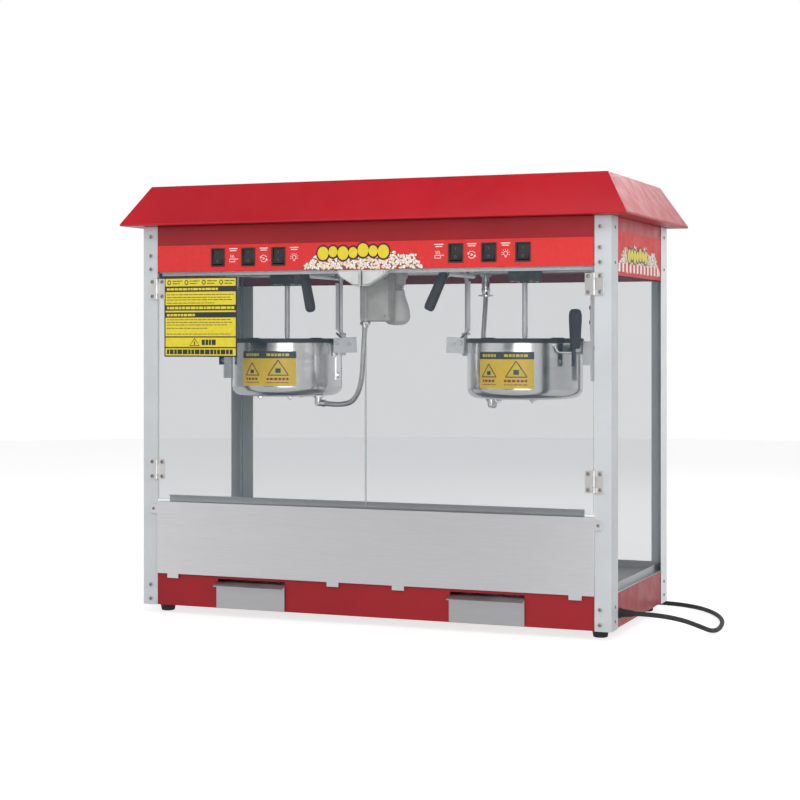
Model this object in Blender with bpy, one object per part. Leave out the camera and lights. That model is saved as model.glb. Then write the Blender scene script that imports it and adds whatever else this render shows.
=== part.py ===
"""Two-kettle popcorn machine: a glazed cabinet under a hip roof, as separate working pieces.

Metres, +Z up. The origin is on the table, under the middle of the roof. +X runs to the
right of someone who faces the doors, and +Y runs to the back. Left and right pieces are
mirrored in the YZ plane, so most functions take side = -1 (left) or +1 (right).
"""

import math

import bmesh
import bpy
from mathutils import Matrix, Vector

GAP = 0.0003
SHEET = 0.0015
THIN_SHEET = 0.0012
SIDES = (("left", -1), ("right", 1))

# Cabinet frame
HALF_WIDTH = 0.450
HALF_DEPTH = 0.200
FOOT_HEIGHT = 0.015
FRAME_TOP = 0.7195
POST_FRONT_FLANGE = 0.0295
POST_SIDE_FLANGE = 0.043
SKIN_X = HALF_WIDTH - SHEET - 0.0005
SKIN_Y = HALF_DEPTH - SHEET - 0.0005
OPENING_X = HALF_WIDTH - POST_FRONT_FLANGE

# Roof
ROOF_BOTTOM = 0.720
ROOF_TOP = 0.795
ROOF_EAVES = (0.484, 0.2305)
ROOF_CROWN = (0.440, 0.188)
ROOF_MOUTH = (0.4405, 0.1905)
ROOF_LIP = 0.0035

# Upper housing
HOUSING_BOTTOM = 0.619
FASCIA_BOTTOM = 0.634
CEILING_BOTTOM = 0.6355
CEILING_SHEET = 0.0012

# Base, floor and sill
BASE_TOP = 0.075
BASE_BOTTOM = FOOT_HEIGHT + 0.0005
TRAY_FLOOR = BASE_TOP + GAP
SILL_TOP = 0.208
SILL_FACE = (-0.2026, -0.2011)
SILL_TAB_PLACES = (0.063, 0.387)
SILL_TAB_HALF = 0.0115
CRUMB_SLOT_COUNT = 6
CRUMB_SLOT_HALF_LENGTH = 0.050
CRUMB_SLOT_WIDTH = 0.007
CRUMB_SLOT_PITCH = 0.032
CRUMB_SLOT_FIRST = -0.115
TRAY_FRONT_TOP = 0.2202
FOOT_PLACE = (0.420, 0.160)

# Doors and hinges
DOOR_BOTTOM = 0.2125
DOOR_TOP = 0.6325
DOOR_FRONT = -0.2005
DOOR_THICK = 0.004
HINGE_AXIS = (OPENING_X, -0.2035)
HINGE_HEIGHTS = (("upper", 0.603), ("lower", 0.268))
HINGE_HALF = 0.019
HINGE_REACH = 0.0165
PULL_FRONT = -0.2225
KNUCKLE_RADIUS = 0.0026
KNUCKLE_HALF = 0.0092

# Crumb drawers
DRAWER_X = 0.2275
DRAWER_HALF = 0.067
DRAWER_BOTTOM = 0.0185
DRAWER_TOP = 0.060
DRAWER_BACK = 0.100
DRAWER_PLATE_HALF = 0.069
DRAWER_SHEET = 0.001

# Switches
SWITCHES = {
    "left": (("heat", -0.294), ("stir", -0.232), ("light", -0.171)),
    "right": (("heat", 0.171), ("stir", 0.232), ("light", 0.294)),
}
SWITCH_AXIS = (-0.1975, 0.660)
SWITCH_HALF = (0.0105, 0.0135)
SWITCH_CLEARANCE = 0.001
SWITCH_REST_TILT = math.radians(-8)

# Kettles, which tilt about a line along X
KETTLE_X = 0.239
KETTLE_Y = -0.019
KETTLE_RADIUS = 0.105
KETTLE_BOTTOM = 0.403
KETTLE_RIM = 0.506
KETTLE_CORNER = 0.018
KETTLE_WALL = 0.0015
KETTLE_FLOOR = 0.003
PIVOT_Z = 0.493
PIN_RADIUS = 0.005
PIN_HOLE = 0.0054
LID_RADIUS = 0.107
LID_TOP = 0.5113
LID_SPLIT = -0.0121
FLAP_AXIS_Z = 0.512
CONDUIT_FITTING = {-1: (-0.164, -0.040), 1: (0.168, 0.000)}
FITTING_BOTTOM = 0.395
FITTING_RADIUS = 0.009
BOSS_RADIUS = 0.012
BLADE_REACH = 0.076

# Stirring drive
SHAFT_RADIUS = 0.005
SHAFT_BOTTOM = 0.5133
SHAFT_TOP = 0.712
TONGUE_TOP = 0.524
HUB_BOTTOM = 0.612
HUB_TOP = 0.685
HUB_RADIUS = 0.009
HUB_BORE = 0.0054
BLOCK_BOTTOM = 0.615
BLOCK_HALF = 0.025
GEARBOX_TOP = 0.680
COLLAR_BOTTOM = 0.693
FORK_TOP = 0.691

# Lift lever, which turns about a rod along Y
LEVER_X = 0.1364
LEVER_Z = 0.6255
ROD_RADIUS = 0.004

# Hanger
HANGER_OUTER = (0.366, 0.369)
HANGER_INNER = (0.121, 0.124)
HANGER_ROD_X = 0.1265
HANGER_ROD_RADIUS = 0.0035
HANGER_REAR = 0.028
HANGER_TOP = 0.635

# Tilt handle, on the outer pivot pin
TILT_BAR = (0.3470, 0.3510)
TILT_GRIP = (0.352, -0.080)
TILT_BOSS_RADIUS = 0.011

# Lamp and junction box under the ceiling
LAMP_Y = -0.050
JUNCTION_BOX = ((-0.047, 0.012), (-0.120, -0.085))
JUNCTION_BOX_BOTTOM = 0.542

# Mains lead, resting on the table
CORD_RADIUS = 0.004
GLAND_PLACE = (-0.140, 0.040)
COIL_CENTRE = (0.360, 0.290)
COIL_RADIUS = 0.046
COIL_HALF_BAND = 0.009
COIL_HEIGHT = 0.017
PLUG_HEIGHT = 0.0135
PLUG_PIN_OFFSET = 0.0065
CORD_ROUTE = (
    (0.4738, -0.1400, 0.0400),
    (0.500, -0.1398, 0.0395),
    (0.530, -0.1365, 0.0370),
    (0.558, -0.1250, 0.0300),
    (0.579, -0.1040, 0.0190),
    (0.591, -0.0740, 0.0085),
    (0.595, -0.0380, 0.0043),
    (0.593, 0.0050, 0.0041),
    (0.584, 0.0600, 0.0041),
    (0.567, 0.1150, 0.0041),
    (0.542, 0.1650, 0.0041),
    (0.510, 0.2060, 0.0041),
    (0.472, 0.2330, 0.0041),
    (0.434, 0.2440, 0.0041),
    (0.3985, 0.2465, 0.0041),
)

# Flexible steel conduits to the kettles' heaters
CONDUIT_RADIUS = 0.005
CONDUIT_ROUTES = {
    "left": (
        (-0.168, -0.0400, 0.3890),
        (-0.150, -0.0430, 0.3885),
        (-0.128, -0.0500, 0.3875),
        (-0.104, -0.0580, 0.3885),
        (-0.082, -0.0680, 0.3950),
        (-0.065, -0.0780, 0.4140),
        (-0.0545, -0.0880, 0.4400),
        (-0.0480, -0.0970, 0.4775),
        (-0.0435, -0.1020, 0.5150),
        (-0.0415, -0.1025, 0.5415),
    ),
    "right": (
        (0.128, 0.0850, 0.6350),
        (0.128, 0.0850, 0.6150),
        (0.127, 0.0870, 0.5850),
        (0.124, 0.0890, 0.5500),
        (0.1205, 0.0920, 0.5100),
        (0.119, 0.0940, 0.4650),
        (0.122, 0.0910, 0.4300),
        (0.133, 0.0780, 0.4020),
        (0.150, 0.0520, 0.3910),
        (0.164, 0.0250, 0.3893),
        (0.168, 0.0060, 0.3890),
        (0.168, -0.0060, 0.3890),
    ),
}


def finish(name, colour, roughness, metallic=0.0, alpha=1.0):
    """A Principled material in one colour."""
    material = bpy.data.materials.new(name)
    material.use_nodes = True
    shader = material.node_tree.nodes["Principled BSDF"]
    shader.inputs["Base Color"].default_value = (*colour, 1.0)
    shader.inputs["Roughness"].default_value = roughness
    shader.inputs["Metallic"].default_value = metallic
    shader.inputs["Alpha"].default_value = alpha
    material.diffuse_color = (*colour, alpha)
    return material


def ordered(side, low, high):
    """The stretch low..high along X, mirrored to this side."""
    return tuple(sorted((side * low, side * high)))


def block(x, y, z):
    """A box between the two ends of x, y and z."""
    shape = bmesh.new()
    bmesh.ops.create_cube(shape, size=1.0)
    size = (x[1] - x[0], y[1] - y[0], z[1] - z[0])
    middle = ((x[0] + x[1]) / 2, (y[0] + y[1]) / 2, (z[0] + z[1]) / 2)
    bmesh.ops.scale(shape, vec=size, verts=shape.verts)
    bmesh.ops.translate(shape, vec=middle, verts=shape.verts)
    return shape


def rod(start, end, radius, end_radius=None, segments=20):
    """A round bar, or a cone where end_radius differs, from start to end."""
    start, end = Vector(start), Vector(end)
    along = end - start
    turn = Vector((0, 0, 1)).rotation_difference(along).to_matrix().to_4x4()
    shape = bmesh.new()
    bmesh.ops.create_cone(
        shape,
        cap_ends=True,
        segments=segments,
        radius1=radius,
        radius2=radius if end_radius is None else end_radius,
        depth=along.length,
        matrix=Matrix.Translation((start + end) / 2) @ turn,
    )
    return shape


def prism(outline, axis, low, high):
    """A flat outline carried along X, Y or Z. Its points are the other two coordinates."""
    slot = "XYZ".index(axis)
    shape = bmesh.new()
    rings = []
    for level in (low, high):
        points = [list(point) for point in outline]
        for point in points:
            point.insert(slot, level)
        rings.append([shape.verts.new(point) for point in points])
    shape.faces.new(rings[0])
    shape.faces.new(rings[1])
    for number in range(len(outline)):
        after = (number + 1) % len(outline)
        shape.faces.new((rings[0][number], rings[0][after], rings[1][after], rings[1][number]))
    bmesh.ops.recalc_face_normals(shape, faces=shape.faces)
    return shape


def turned(profile, centre, segments=32, ring=False):
    """A profile of (radius, height) turned about the upright line through centre.

    The first and last rings are capped, or joined to each other where ring is set.
    """
    shape = bmesh.new()
    rings = []
    for radius, height in profile:
        circle = []
        for number in range(segments):
            angle = math.tau * number / segments
            x = centre[0] + radius * math.cos(angle)
            y = centre[1] + radius * math.sin(angle)
            circle.append(shape.verts.new((x, y, height)))
        rings.append(circle)
    pairs = list(zip(rings, rings[1:]))
    if ring:
        pairs.append((rings[-1], rings[0]))
    else:
        shape.faces.new(rings[0])
        shape.faces.new(rings[-1])
    for below, above in pairs:
        for number in range(segments):
            after = (number + 1) % segments
            shape.faces.new((below[number], below[after], above[after], above[number]))
    bmesh.ops.recalc_face_normals(shape, faces=shape.faces)
    return shape


def capsule(start, end, radius, segments=16):
    """A round bar with rounded ends that finish at start and end."""
    start, end = Vector(start), Vector(end)
    length = (end - start).length
    steps = [math.radians(angle) for angle in (20, 50, 90)]
    nose = [(radius * math.sin(step), radius * (1 - math.cos(step))) for step in steps]
    tail = [(width, length - height) for width, height in reversed(nose)]
    shape = turned(nose + tail, (0, 0), segments)
    turn = Vector((0, 0, 1)).rotation_difference(end - start).to_matrix().to_4x4()
    bmesh.ops.transform(shape, matrix=Matrix.Translation(start) @ turn, verts=shape.verts)
    return shape


def mesh_object(name, shape, pivot):
    """An object for this shape, with its origin at the pivot."""
    bmesh.ops.translate(shape, vec=-Vector(pivot), verts=shape.verts)
    mesh = bpy.data.meshes.new(name)
    shape.to_mesh(mesh)
    shape.free()
    made = bpy.data.objects.new(name, mesh)
    made.location = pivot
    bpy.context.scene.collection.objects.link(made)
    return made


def make(name, material, shapes, cuts=(), pivot=(0, 0, 0)):
    """One node: the first shape, joined with the others and cut by the cuts."""
    node = mesh_object(name, shapes[0], pivot)
    node.data.materials.append(material)
    helpers = [("UNION", shape) for shape in shapes[1:]]
    helpers += [("DIFFERENCE", shape) for shape in cuts]
    for number, (operation, shape) in enumerate(helpers):
        helper = mesh_object(f"{name}.{operation.lower()}_{number}", shape, pivot)
        helper.hide_render = True
        helper.display_type = "WIRE"
        boolean = node.modifiers.new(helper.name, "BOOLEAN")
        boolean.operation = operation
        boolean.solver = "EXACT"
        boolean.object = helper
    node.data.set_sharp_from_angle(angle=math.radians(35))
    return node


def tube(name, material, route, radius):
    """A hose or lead along one smooth curve through the route's points."""
    points = [Vector(point) for point in route]
    points = [2 * points[0] - points[1], *points, 2 * points[-1] - points[-2]]
    smooth = []
    for before, start, end, after in zip(points, points[1:], points[2:], points[3:]):
        steps = max(1, round((end - start).length / (5 * radius)))
        for number in range(steps):
            t = number / steps
            bend = 2 * before - 5 * start + 4 * end - after
            twist = 3 * start - before - 3 * end + after
            smooth.append(start + (t * (end - before) + t * t * bend + t**3 * twist) / 2)
    smooth.append(points[-2])
    curve = bpy.data.curves.new(name, "CURVE")
    curve.dimensions = "3D"
    curve.bevel_depth = radius
    curve.bevel_resolution = 2
    curve.use_fill_caps = True
    spline = curve.splines.new("POLY")
    spline.points.add(len(smooth) - 1)
    for place, point in zip(spline.points, smooth):
        place.co = (*point, 1.0)
    curve.materials.append(material)
    made = bpy.data.objects.new(name, curve)
    bpy.context.scene.collection.objects.link(made)
    return made


def post(name, side, end, material):
    """A corner angle. The front ones carry the fixed leaves of the door hinges."""
    corner = [
        (HALF_WIDTH, HALF_DEPTH),
        (OPENING_X, HALF_DEPTH),
        (OPENING_X, HALF_DEPTH - SHEET),
        (HALF_WIDTH - SHEET, HALF_DEPTH - SHEET),
        (HALF_WIDTH - SHEET, HALF_DEPTH - POST_SIDE_FLANGE),
        (HALF_WIDTH, HALF_DEPTH - POST_SIDE_FLANGE),
    ]
    outline = [(side * x, end * y) for x, y in corner]
    shapes = [prism(outline, "Z", FOOT_HEIGHT, FRAME_TOP)]
    if end < 0:
        for _, height in HINGE_HEIGHTS:
            shapes += fixed_leaf(side, height)
    return make(name, material, shapes)


def fixed_leaf(side, height):
    """The post's leaf of a butt hinge, with its two outer knuckles."""
    axis_x, axis_y = HINGE_AXIS
    leaf_x = ordered(side, axis_x + 0.003, axis_x + HINGE_REACH)
    shapes = [block(leaf_x, (-0.2020, -0.1997), (height - HINGE_HALF, height + HINGE_HALF))]
    for low, high in ((-HINGE_HALF, -KNUCKLE_HALF - GAP), (KNUCKLE_HALF + GAP, HINGE_HALF)):
        z = (height + low, height + high)
        shapes.append(block(ordered(side, axis_x, axis_x + 0.005), (-0.2030, -0.2010), z))
        ends = [(side * axis_x, axis_y, level) for level in z]
        shapes.append(rod(*ends, KNUCKLE_RADIUS, segments=12))
    return shapes


def door_leaf(name, side, height, material):
    """The door's leaf of a butt hinge, with its middle knuckle and pin."""
    axis_x, axis_y = HINGE_AXIS
    plate_x = ordered(side, axis_x - HINGE_REACH, axis_x - 0.0033)
    full = (height - HINGE_HALF, height + HINGE_HALF)
    middle = (height - KNUCKLE_HALF, height + KNUCKLE_HALF)
    ends = [(side * axis_x, axis_y, level) for level in middle]
    shapes = [
        block(plate_x, (-0.2022, DOOR_FRONT - GAP), full),
        block(ordered(side, axis_x - 0.004, axis_x), (-0.2030, -0.2010), middle),
        rod(*ends, KNUCKLE_RADIUS, segments=12),
    ]
    return make(name, material, shapes, pivot=(side * axis_x, axis_y, height))


def door(side, glass, leaf_material, pull_material):
    """One glass door with its hinge leaves and pull, all turning on the hinge line."""
    word = "left" if side < 0 else "right"
    pivot = (side * HINGE_AXIS[0], HINGE_AXIS[1], DOOR_BOTTOM)
    pane_y = (DOOR_FRONT, DOOR_FRONT + DOOR_THICK)
    pane = block(ordered(side, 0.0008, OPENING_X - SHEET), pane_y, (DOOR_BOTTOM, DOOR_TOP))
    make(f"door_{word}", glass, [pane], pivot=pivot)
    for place, height in HINGE_HEIGHTS:
        door_leaf(f"hinge_{word}_{place}", side, height, leaf_material)
    corners = [
        (0.0015, 0.6320),
        (0.0455, 0.6320),
        (0.0455, 0.6255),
        (0.0125, 0.6035),
        (0.0015, 0.6035),
    ]
    outline = [(side * x, z) for x, z in corners]
    pull = prism(outline, "Y", PULL_FRONT, DOOR_FRONT - GAP)
    make(f"door_pull_{word}", pull_material, [pull], pivot=pivot)


def roof(material):
    """A hollow hip roof: eaves with an inward flange below, a flat crown on top."""
    skin = THIN_SHEET
    outer = [
        (*ROOF_MOUTH, ROOF_BOTTOM),
        (*ROOF_EAVES, ROOF_BOTTOM),
        (*ROOF_EAVES, ROOF_BOTTOM + ROOF_LIP),
        (*ROOF_CROWN, ROOF_TOP),
    ]
    inner = [
        (ROOF_CROWN[0] - skin, ROOF_CROWN[1] - skin, ROOF_TOP - skin),
        (ROOF_EAVES[0] - skin, ROOF_EAVES[1] - skin, ROOF_BOTTOM + ROOF_LIP - GAP),
        (ROOF_EAVES[0] - skin, ROOF_EAVES[1] - skin, ROOF_BOTTOM + skin),
        (*ROOF_MOUTH, ROOF_BOTTOM + skin),
    ]
    shape = bmesh.new()
    loops = []
    for half_x, half_y, z in outer + inner:
        signs = ((-1, -1), (1, -1), (1, 1), (-1, 1))
        loops.append([shape.verts.new((half_x * a, half_y * b, z)) for a, b in signs])
    crown = len(outer) - 1
    shape.faces.new(loops[crown])
    shape.faces.new(loops[crown + 1])
    for number, loop in enumerate(loops):
        if number == crown:
            continue
        other = loops[(number + 1) % len(loops)]
        for corner in range(4):
            after = (corner + 1) % 4
            shape.faces.new((loop[corner], loop[after], other[after], other[corner]))
    bmesh.ops.recalc_face_normals(shape, faces=shape.faces)
    return make("roof", material, [shape])


def front_fascia(material):
    """The switch panel, folded back along its lower edge and cut for the switches."""
    half = OPENING_X - 0.0005
    face = block((-half, half), (-HALF_DEPTH, -0.1988), (FASCIA_BOTTOM, FRAME_TOP))
    fold = block((-half, half), (-0.1995, -0.1860), (FASCIA_BOTTOM, FASCIA_BOTTOM + THIN_SHEET))
    cuts = []
    half_x, half_z = (half + SWITCH_CLEARANCE for half in SWITCH_HALF)
    hole_z = (SWITCH_AXIS[1] - half_z, SWITCH_AXIS[1] + half_z)
    for group in SWITCHES.values():
        for _, place in group:
            cuts.append(block((place - half_x, place + half_x), (-0.21, -0.19), hole_z))
    return make("front_fascia", material, [face, fold], cuts)


def rocker(name, x, material):
    """A switch's paddle, dished along its middle and resting tilted on its off side."""
    half_x, half_z = SWITCH_HALF
    outline = [
        (-0.0045, half_z),
        (-0.0022, 0.0),
        (-0.0045, -half_z),
        (0.0040, -half_z + 0.002),
        (0.0060, 0.0),
        (0.0040, half_z - 0.002),
    ]
    shape = prism(outline, "X", -half_x, half_x)
    node = make(name, material, [shape])
    node.location = (x, *SWITCH_AXIS)
    node.rotation_euler = (SWITCH_REST_TILT, 0, 0)
    return node


def upper_housing(material):
    """The side and rear aprons under the roof, folded from one sheet."""
    inner_x, inner_y = SKIN_X - SHEET, SKIN_Y - SHEET
    outline = [
        (-SKIN_X, -SKIN_Y),
        (-SKIN_X, SKIN_Y),
        (SKIN_X, SKIN_Y),
        (SKIN_X, -SKIN_Y),
        (inner_x, -SKIN_Y),
        (inner_x, inner_y),
        (-inner_x, inner_y),
        (-inner_x, -SKIN_Y),
    ]
    return make("upper_housing", material, [prism(outline, "Z", HOUSING_BOTTOM, FRAME_TOP)])


def ceiling_plate(material):
    """The steel ceiling over the kettles, cut for the drive blocks and the lever arms."""
    plate_z = (CEILING_BOTTOM, CEILING_BOTTOM + CEILING_SHEET)
    plate = block((-0.446, 0.446), (-0.1975, 0.1960), plate_z)
    through = (CEILING_BOTTOM - 0.01, CEILING_BOTTOM + 0.01)
    cuts = []
    for _, side in SIDES:
        hole = BLOCK_HALF + 0.002
        middle = side * KETTLE_X
        hole_y = (KETTLE_Y - hole, KETTLE_Y + hole)
        cuts.append(block((middle - hole, middle + hole), hole_y, through))
        slot = ordered(side, LEVER_X - 0.011, LEVER_X + 0.006)
        cuts.append(block(slot, (KETTLE_Y - 0.0125, KETTLE_Y + 0.0125), through))
    return make("ceiling_plate", material, [plate], cuts)


def base_shell(material):
    """The skirt and bottom plate, with two drawer mouths and the hole for the lead."""
    shell = block((-SKIN_X, SKIN_X), (-SKIN_Y, SKIN_Y), (BASE_BOTTOM, BASE_TOP))
    inside_x = (-SKIN_X + SHEET, SKIN_X - SHEET)
    inside_y = (-SKIN_Y + SHEET, SKIN_Y - SHEET)
    cuts = [block(inside_x, inside_y, (BASE_BOTTOM + SHEET, BASE_TOP + 0.01))]
    mouth = DRAWER_HALF + 0.001
    for _, side in SIDES:
        mouth_x = ordered(side, DRAWER_X - mouth, DRAWER_X + mouth)
        cuts.append(block(mouth_x, (-0.21, -0.19), (DRAWER_BOTTOM - 0.0007, 0.069)))
    y, z = GLAND_PLACE
    cuts.append(rod((0.44, y, z), (0.46, y, z), 0.006, segments=16))
    return make("base_shell", material, [shell], cuts)


def floor_tray(material):
    """The steel floor that catches the popcorn, with crumb slots and a raised front."""
    top = TRAY_FLOOR + THIN_SHEET
    rim_bottom = TRAY_FLOOR + 0.0004
    rim_x, rim_rear, rim_top = 0.4415, 0.1915, 0.090
    lip = (TRAY_FRONT_TOP - THIN_SHEET, TRAY_FRONT_TOP)
    shapes = [
        block((-0.4478, 0.4478), (-0.1978, 0.1960), (TRAY_FLOOR, top)),
        block((-rim_x, rim_x), (-0.1880, rim_rear), (rim_bottom, rim_top)),
        block((-0.400, 0.400), (-0.1900, -0.1888), (rim_bottom, TRAY_FRONT_TOP - 0.0005)),
        block((-0.3996, 0.3996), (-0.1955, -0.1892), lip),
    ]
    inside_x = (-rim_x + THIN_SHEET, rim_x - THIN_SHEET)
    cuts = [block(inside_x, (-0.1884, rim_rear - 0.0012), (top, rim_top + 0.01))]
    for _, side in SIDES:
        reach = CRUMB_SLOT_HALF_LENGTH
        slot_x = ordered(side, DRAWER_X - reach, DRAWER_X + reach)
        for number in range(CRUMB_SLOT_COUNT):
            y = CRUMB_SLOT_FIRST + CRUMB_SLOT_PITCH * number
            cuts.append(block(slot_x, (y, y + CRUMB_SLOT_WIDTH), (0.07, 0.08)))
    return make("floor_tray", material, shapes, cuts)


def sill_panel(material):
    """The steel panel below the doors, with ears on the posts and tabs over the skirt."""
    half = 0.420
    fold_y = (SILL_FACE[0], -0.1925)
    shapes = [
        block((-half, half), SILL_FACE, (0.0745, SILL_TOP)),
        block((-half + 0.0005, half - 0.0005), fold_y, (SILL_TOP - THIN_SHEET, SILL_TOP)),
    ]
    for _, side in SIDES:
        ear_x = ordered(side, 0.415, 0.4335)
        shapes.append(block(ear_x, SILL_FACE, (0.186, 0.203)))
        end_x = ordered(side, 0.4183, 0.4195)
        shapes.append(block(end_x, (-0.2020, -0.1925), (0.0775, SILL_TOP - 0.0005)))
        for place in SILL_TAB_PLACES:
            tab_x = ordered(side, place - SILL_TAB_HALF, place + SILL_TAB_HALF)
            shapes.append(block(tab_x, SILL_FACE, (0.0665, 0.076)))
    return make("sill_panel", material, shapes)


def fixed_glass(material):
    """The two side panes and the rear pane."""
    bottom, top = TRAY_FLOOR + 0.0017, CEILING_BOTTOM - 0.001
    for word, side in SIDES:
        pane = block(ordered(side, 0.4430, 0.4460), (-0.1970, 0.1960), (bottom, top))
        make(f"side_glass_{word}", material, [pane])
    make("rear_glass", material, [block((-0.4425, 0.4425), (0.1930, 0.1960), (bottom, top))])


def foot(name, x, y, material):
    """A tapered rubber foot."""
    profile = [(0.0125, 0.0), (0.0140, 0.0100), (0.0150, 0.0110), (0.0150, 0.0150)]
    return make(name, material, [turned(profile, (x, y), segments=20)])


def drawer(name, side, material):
    """A crumb drawer: an open tray behind a front plate with a folded pull."""
    box_x = ordered(side, DRAWER_X - DRAWER_HALF, DRAWER_X + DRAWER_HALF)
    plate_x = ordered(side, DRAWER_X - DRAWER_PLATE_HALF, DRAWER_X + DRAWER_PLATE_HALF)
    pull = [(-0.2003, 0.0645), (-0.2150, 0.0580), (-0.2150, 0.0566), (-0.2003, 0.0631)]
    shapes = [
        block(box_x, (-0.2008, DRAWER_BACK), (DRAWER_BOTTOM, DRAWER_TOP)),
        block(plate_x, (-0.2015, -0.2003), (0.0165, 0.0640)),
        prism(pull, "X", *plate_x),
    ]
    cavity_x = (box_x[0] + DRAWER_SHEET, box_x[1] - DRAWER_SHEET)
    cavity_y = (-0.1998, DRAWER_BACK - DRAWER_SHEET)
    cavity = block(cavity_x, cavity_y, (DRAWER_BOTTOM + DRAWER_SHEET, DRAWER_TOP + 0.01))
    return make(name, material, shapes, [cavity])


def kettle_profile():
    """The pot's section: up its outer wall, over the rim and down inside."""
    angles = [math.radians(-90 + 30 * step) for step in range(4)]
    outer = []
    inner = []
    for angle in angles:
        across, up = math.cos(angle), math.sin(angle)
        centre = KETTLE_RADIUS - KETTLE_CORNER
        level = KETTLE_BOTTOM + KETTLE_CORNER
        outer.append((centre + KETTLE_CORNER * across, level + KETTLE_CORNER * up))
        small = KETTLE_CORNER - KETTLE_WALL
        lift = KETTLE_FLOOR - KETTLE_WALL
        inner.append((centre + small * across, level + lift + small * up))
    rim = [(KETTLE_RADIUS, KETTLE_RIM), (KETTLE_RADIUS - KETTLE_WALL, KETTLE_RIM)]
    return outer + rim + inner[::-1]


def lid_outline(side, rear):
    """The rear or the front part of the round lid, split by a straight line along X."""
    split = LID_SPLIT + (0.0004 if rear else -0.0004)
    start = math.asin(split / LID_RADIUS)
    sweep = math.pi - 2 * start if rear else math.pi + 2 * start
    count = 14
    points = []
    for number in range(count + 1):
        angle = start + sweep * number / count if rear else start - sweep * number / count
        x = side * KETTLE_X + LID_RADIUS * math.cos(angle)
        points.append((x, KETTLE_Y + LID_RADIUS * math.sin(angle)))
    return points


def kettle(name, side, material):
    """The pot with its fixed rear lid, pivot pins and the heater's conduit fitting."""
    x = side * KETTLE_X
    near, far = KETTLE_X - KETTLE_RADIUS, KETTLE_X + KETTLE_RADIUS
    fitting_x, fitting_y = CONDUIT_FITTING[side]

    def along_x(start, end, radius):
        ends = [(side * place, KETTLE_Y, PIVOT_Z) for place in (start, end)]
        return rod(*ends, radius)

    shapes = [
        turned(kettle_profile(), (x, KETTLE_Y), segments=28),
        prism(lid_outline(side, rear=True), "Z", KETTLE_RIM - 0.001, LID_TOP),
        along_x(near + 0.0012, near - 0.004, BOSS_RADIUS),
        along_x(near + 0.0010, near - 0.022, PIN_RADIUS),
        along_x(near - 0.0165, near - 0.0225, 0.008),
        along_x(far - 0.0012, far + 0.0025, BOSS_RADIUS),
        along_x(far - 0.0010, far + 0.0295, PIN_RADIUS),
        rod(
            (fitting_x, fitting_y, KETTLE_BOTTOM + 0.001),
            (fitting_x, fitting_y, FITTING_BOTTOM),
            FITTING_RADIUS,
        ),
    ]
    hole = rod((x, KETTLE_Y, KETTLE_RIM - 0.002), (x, KETTLE_Y, LID_TOP + 0.002), 0.007)
    return make(name, material, shapes, [hole], pivot=(x, KETTLE_Y, PIVOT_Z))


def lid_flap(name, side, material):
    """The front part of the lid, which swings up on the line where the lid is split."""
    shape = prism(lid_outline(side, rear=False), "Z", KETTLE_RIM + 0.0005, LID_TOP)
    return make(name, material, [shape], pivot=(side * KETTLE_X, KETTLE_Y + LID_SPLIT, FLAP_AXIS_Z))


def agitator(name, side, material):
    """The stirrer: a blade on the pot's floor, a spindle and a driving tongue on top."""
    x, y = side * KETTLE_X, KETTLE_Y
    floor = KETTLE_BOTTOM + KETTLE_FLOOR + 0.0005
    shapes = [
        rod((x, y, floor + 0.002), (x, y, SHAFT_BOTTOM - GAP), 0.004, segments=16),
        rod((x, y, floor), (x, y, floor + 0.014), 0.010),
        block((x - BLADE_REACH, x + BLADE_REACH), (y - 0.006, y + 0.006), (floor + 0.0015, floor + 0.0055)),
        block((x - 0.0015, x + 0.0015), (y - 0.004, y + 0.004), (SHAFT_BOTTOM - 0.002, TONGUE_TOP)),
    ]
    return make(name, material, shapes, pivot=(x, y, KETTLE_BOTTOM))


def drive_shaft(name, side, material):
    """The shaft down to the stirrer: slotted at the bottom, with a lifting collar on top."""
    x, y = side * KETTLE_X, KETTLE_Y
    shapes = [
        rod((x, y, SHAFT_BOTTOM), (x, y, SHAFT_TOP), SHAFT_RADIUS, segments=16),
        rod((x, y, COLLAR_BOTTOM), (x, y, COLLAR_BOTTOM + 0.007), 0.009),
    ]
    slot = block((x - 0.0018, x + 0.0018), (y - 0.01, y + 0.01), (SHAFT_BOTTOM - 0.01, TONGUE_TOP + 0.0005))
    return make(name, material, shapes, [slot], pivot=(x, y, SHAFT_BOTTOM))


def drive_hub(name, side, material):
    """The hollow output gear's hub, which turns the shaft and lets it slide."""
    x, y = side * KETTLE_X, KETTLE_Y
    profile = [(HUB_BORE, HUB_BOTTOM), (HUB_RADIUS, HUB_BOTTOM), (HUB_RADIUS, HUB_TOP), (HUB_BORE, HUB_TOP)]
    return make(name, material, [turned(profile, (x, y), 20, ring=True)], pivot=(x, y, HUB_BOTTOM))


def gear_motor(name, side, material):
    """A geared motor on the ceiling, with its bearing block reaching down through it."""
    x, y = side * KETTLE_X, KETTLE_Y
    gearbox_bottom = CEILING_BOTTOM + CEILING_SHEET + 0.0005
    block_x = (x - BLOCK_HALF, x + BLOCK_HALF)
    shapes = [
        block(block_x, (y - BLOCK_HALF, y + BLOCK_HALF), (BLOCK_BOTTOM, gearbox_bottom + 0.003)),
        block((x - 0.032, x + 0.032), (y - 0.030, y + 0.090), (gearbox_bottom, GEARBOX_TOP)),
        rod((x, y + 0.058, GEARBOX_TOP - 0.002), (x, y + 0.058, 0.765), 0.029, segments=24),
    ]
    bore = rod((x, y, BLOCK_BOTTOM - 0.01), (x, y, GEARBOX_TOP + 0.01), HUB_RADIUS + 0.0006)
    return make(name, material, shapes, [bore])


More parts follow.
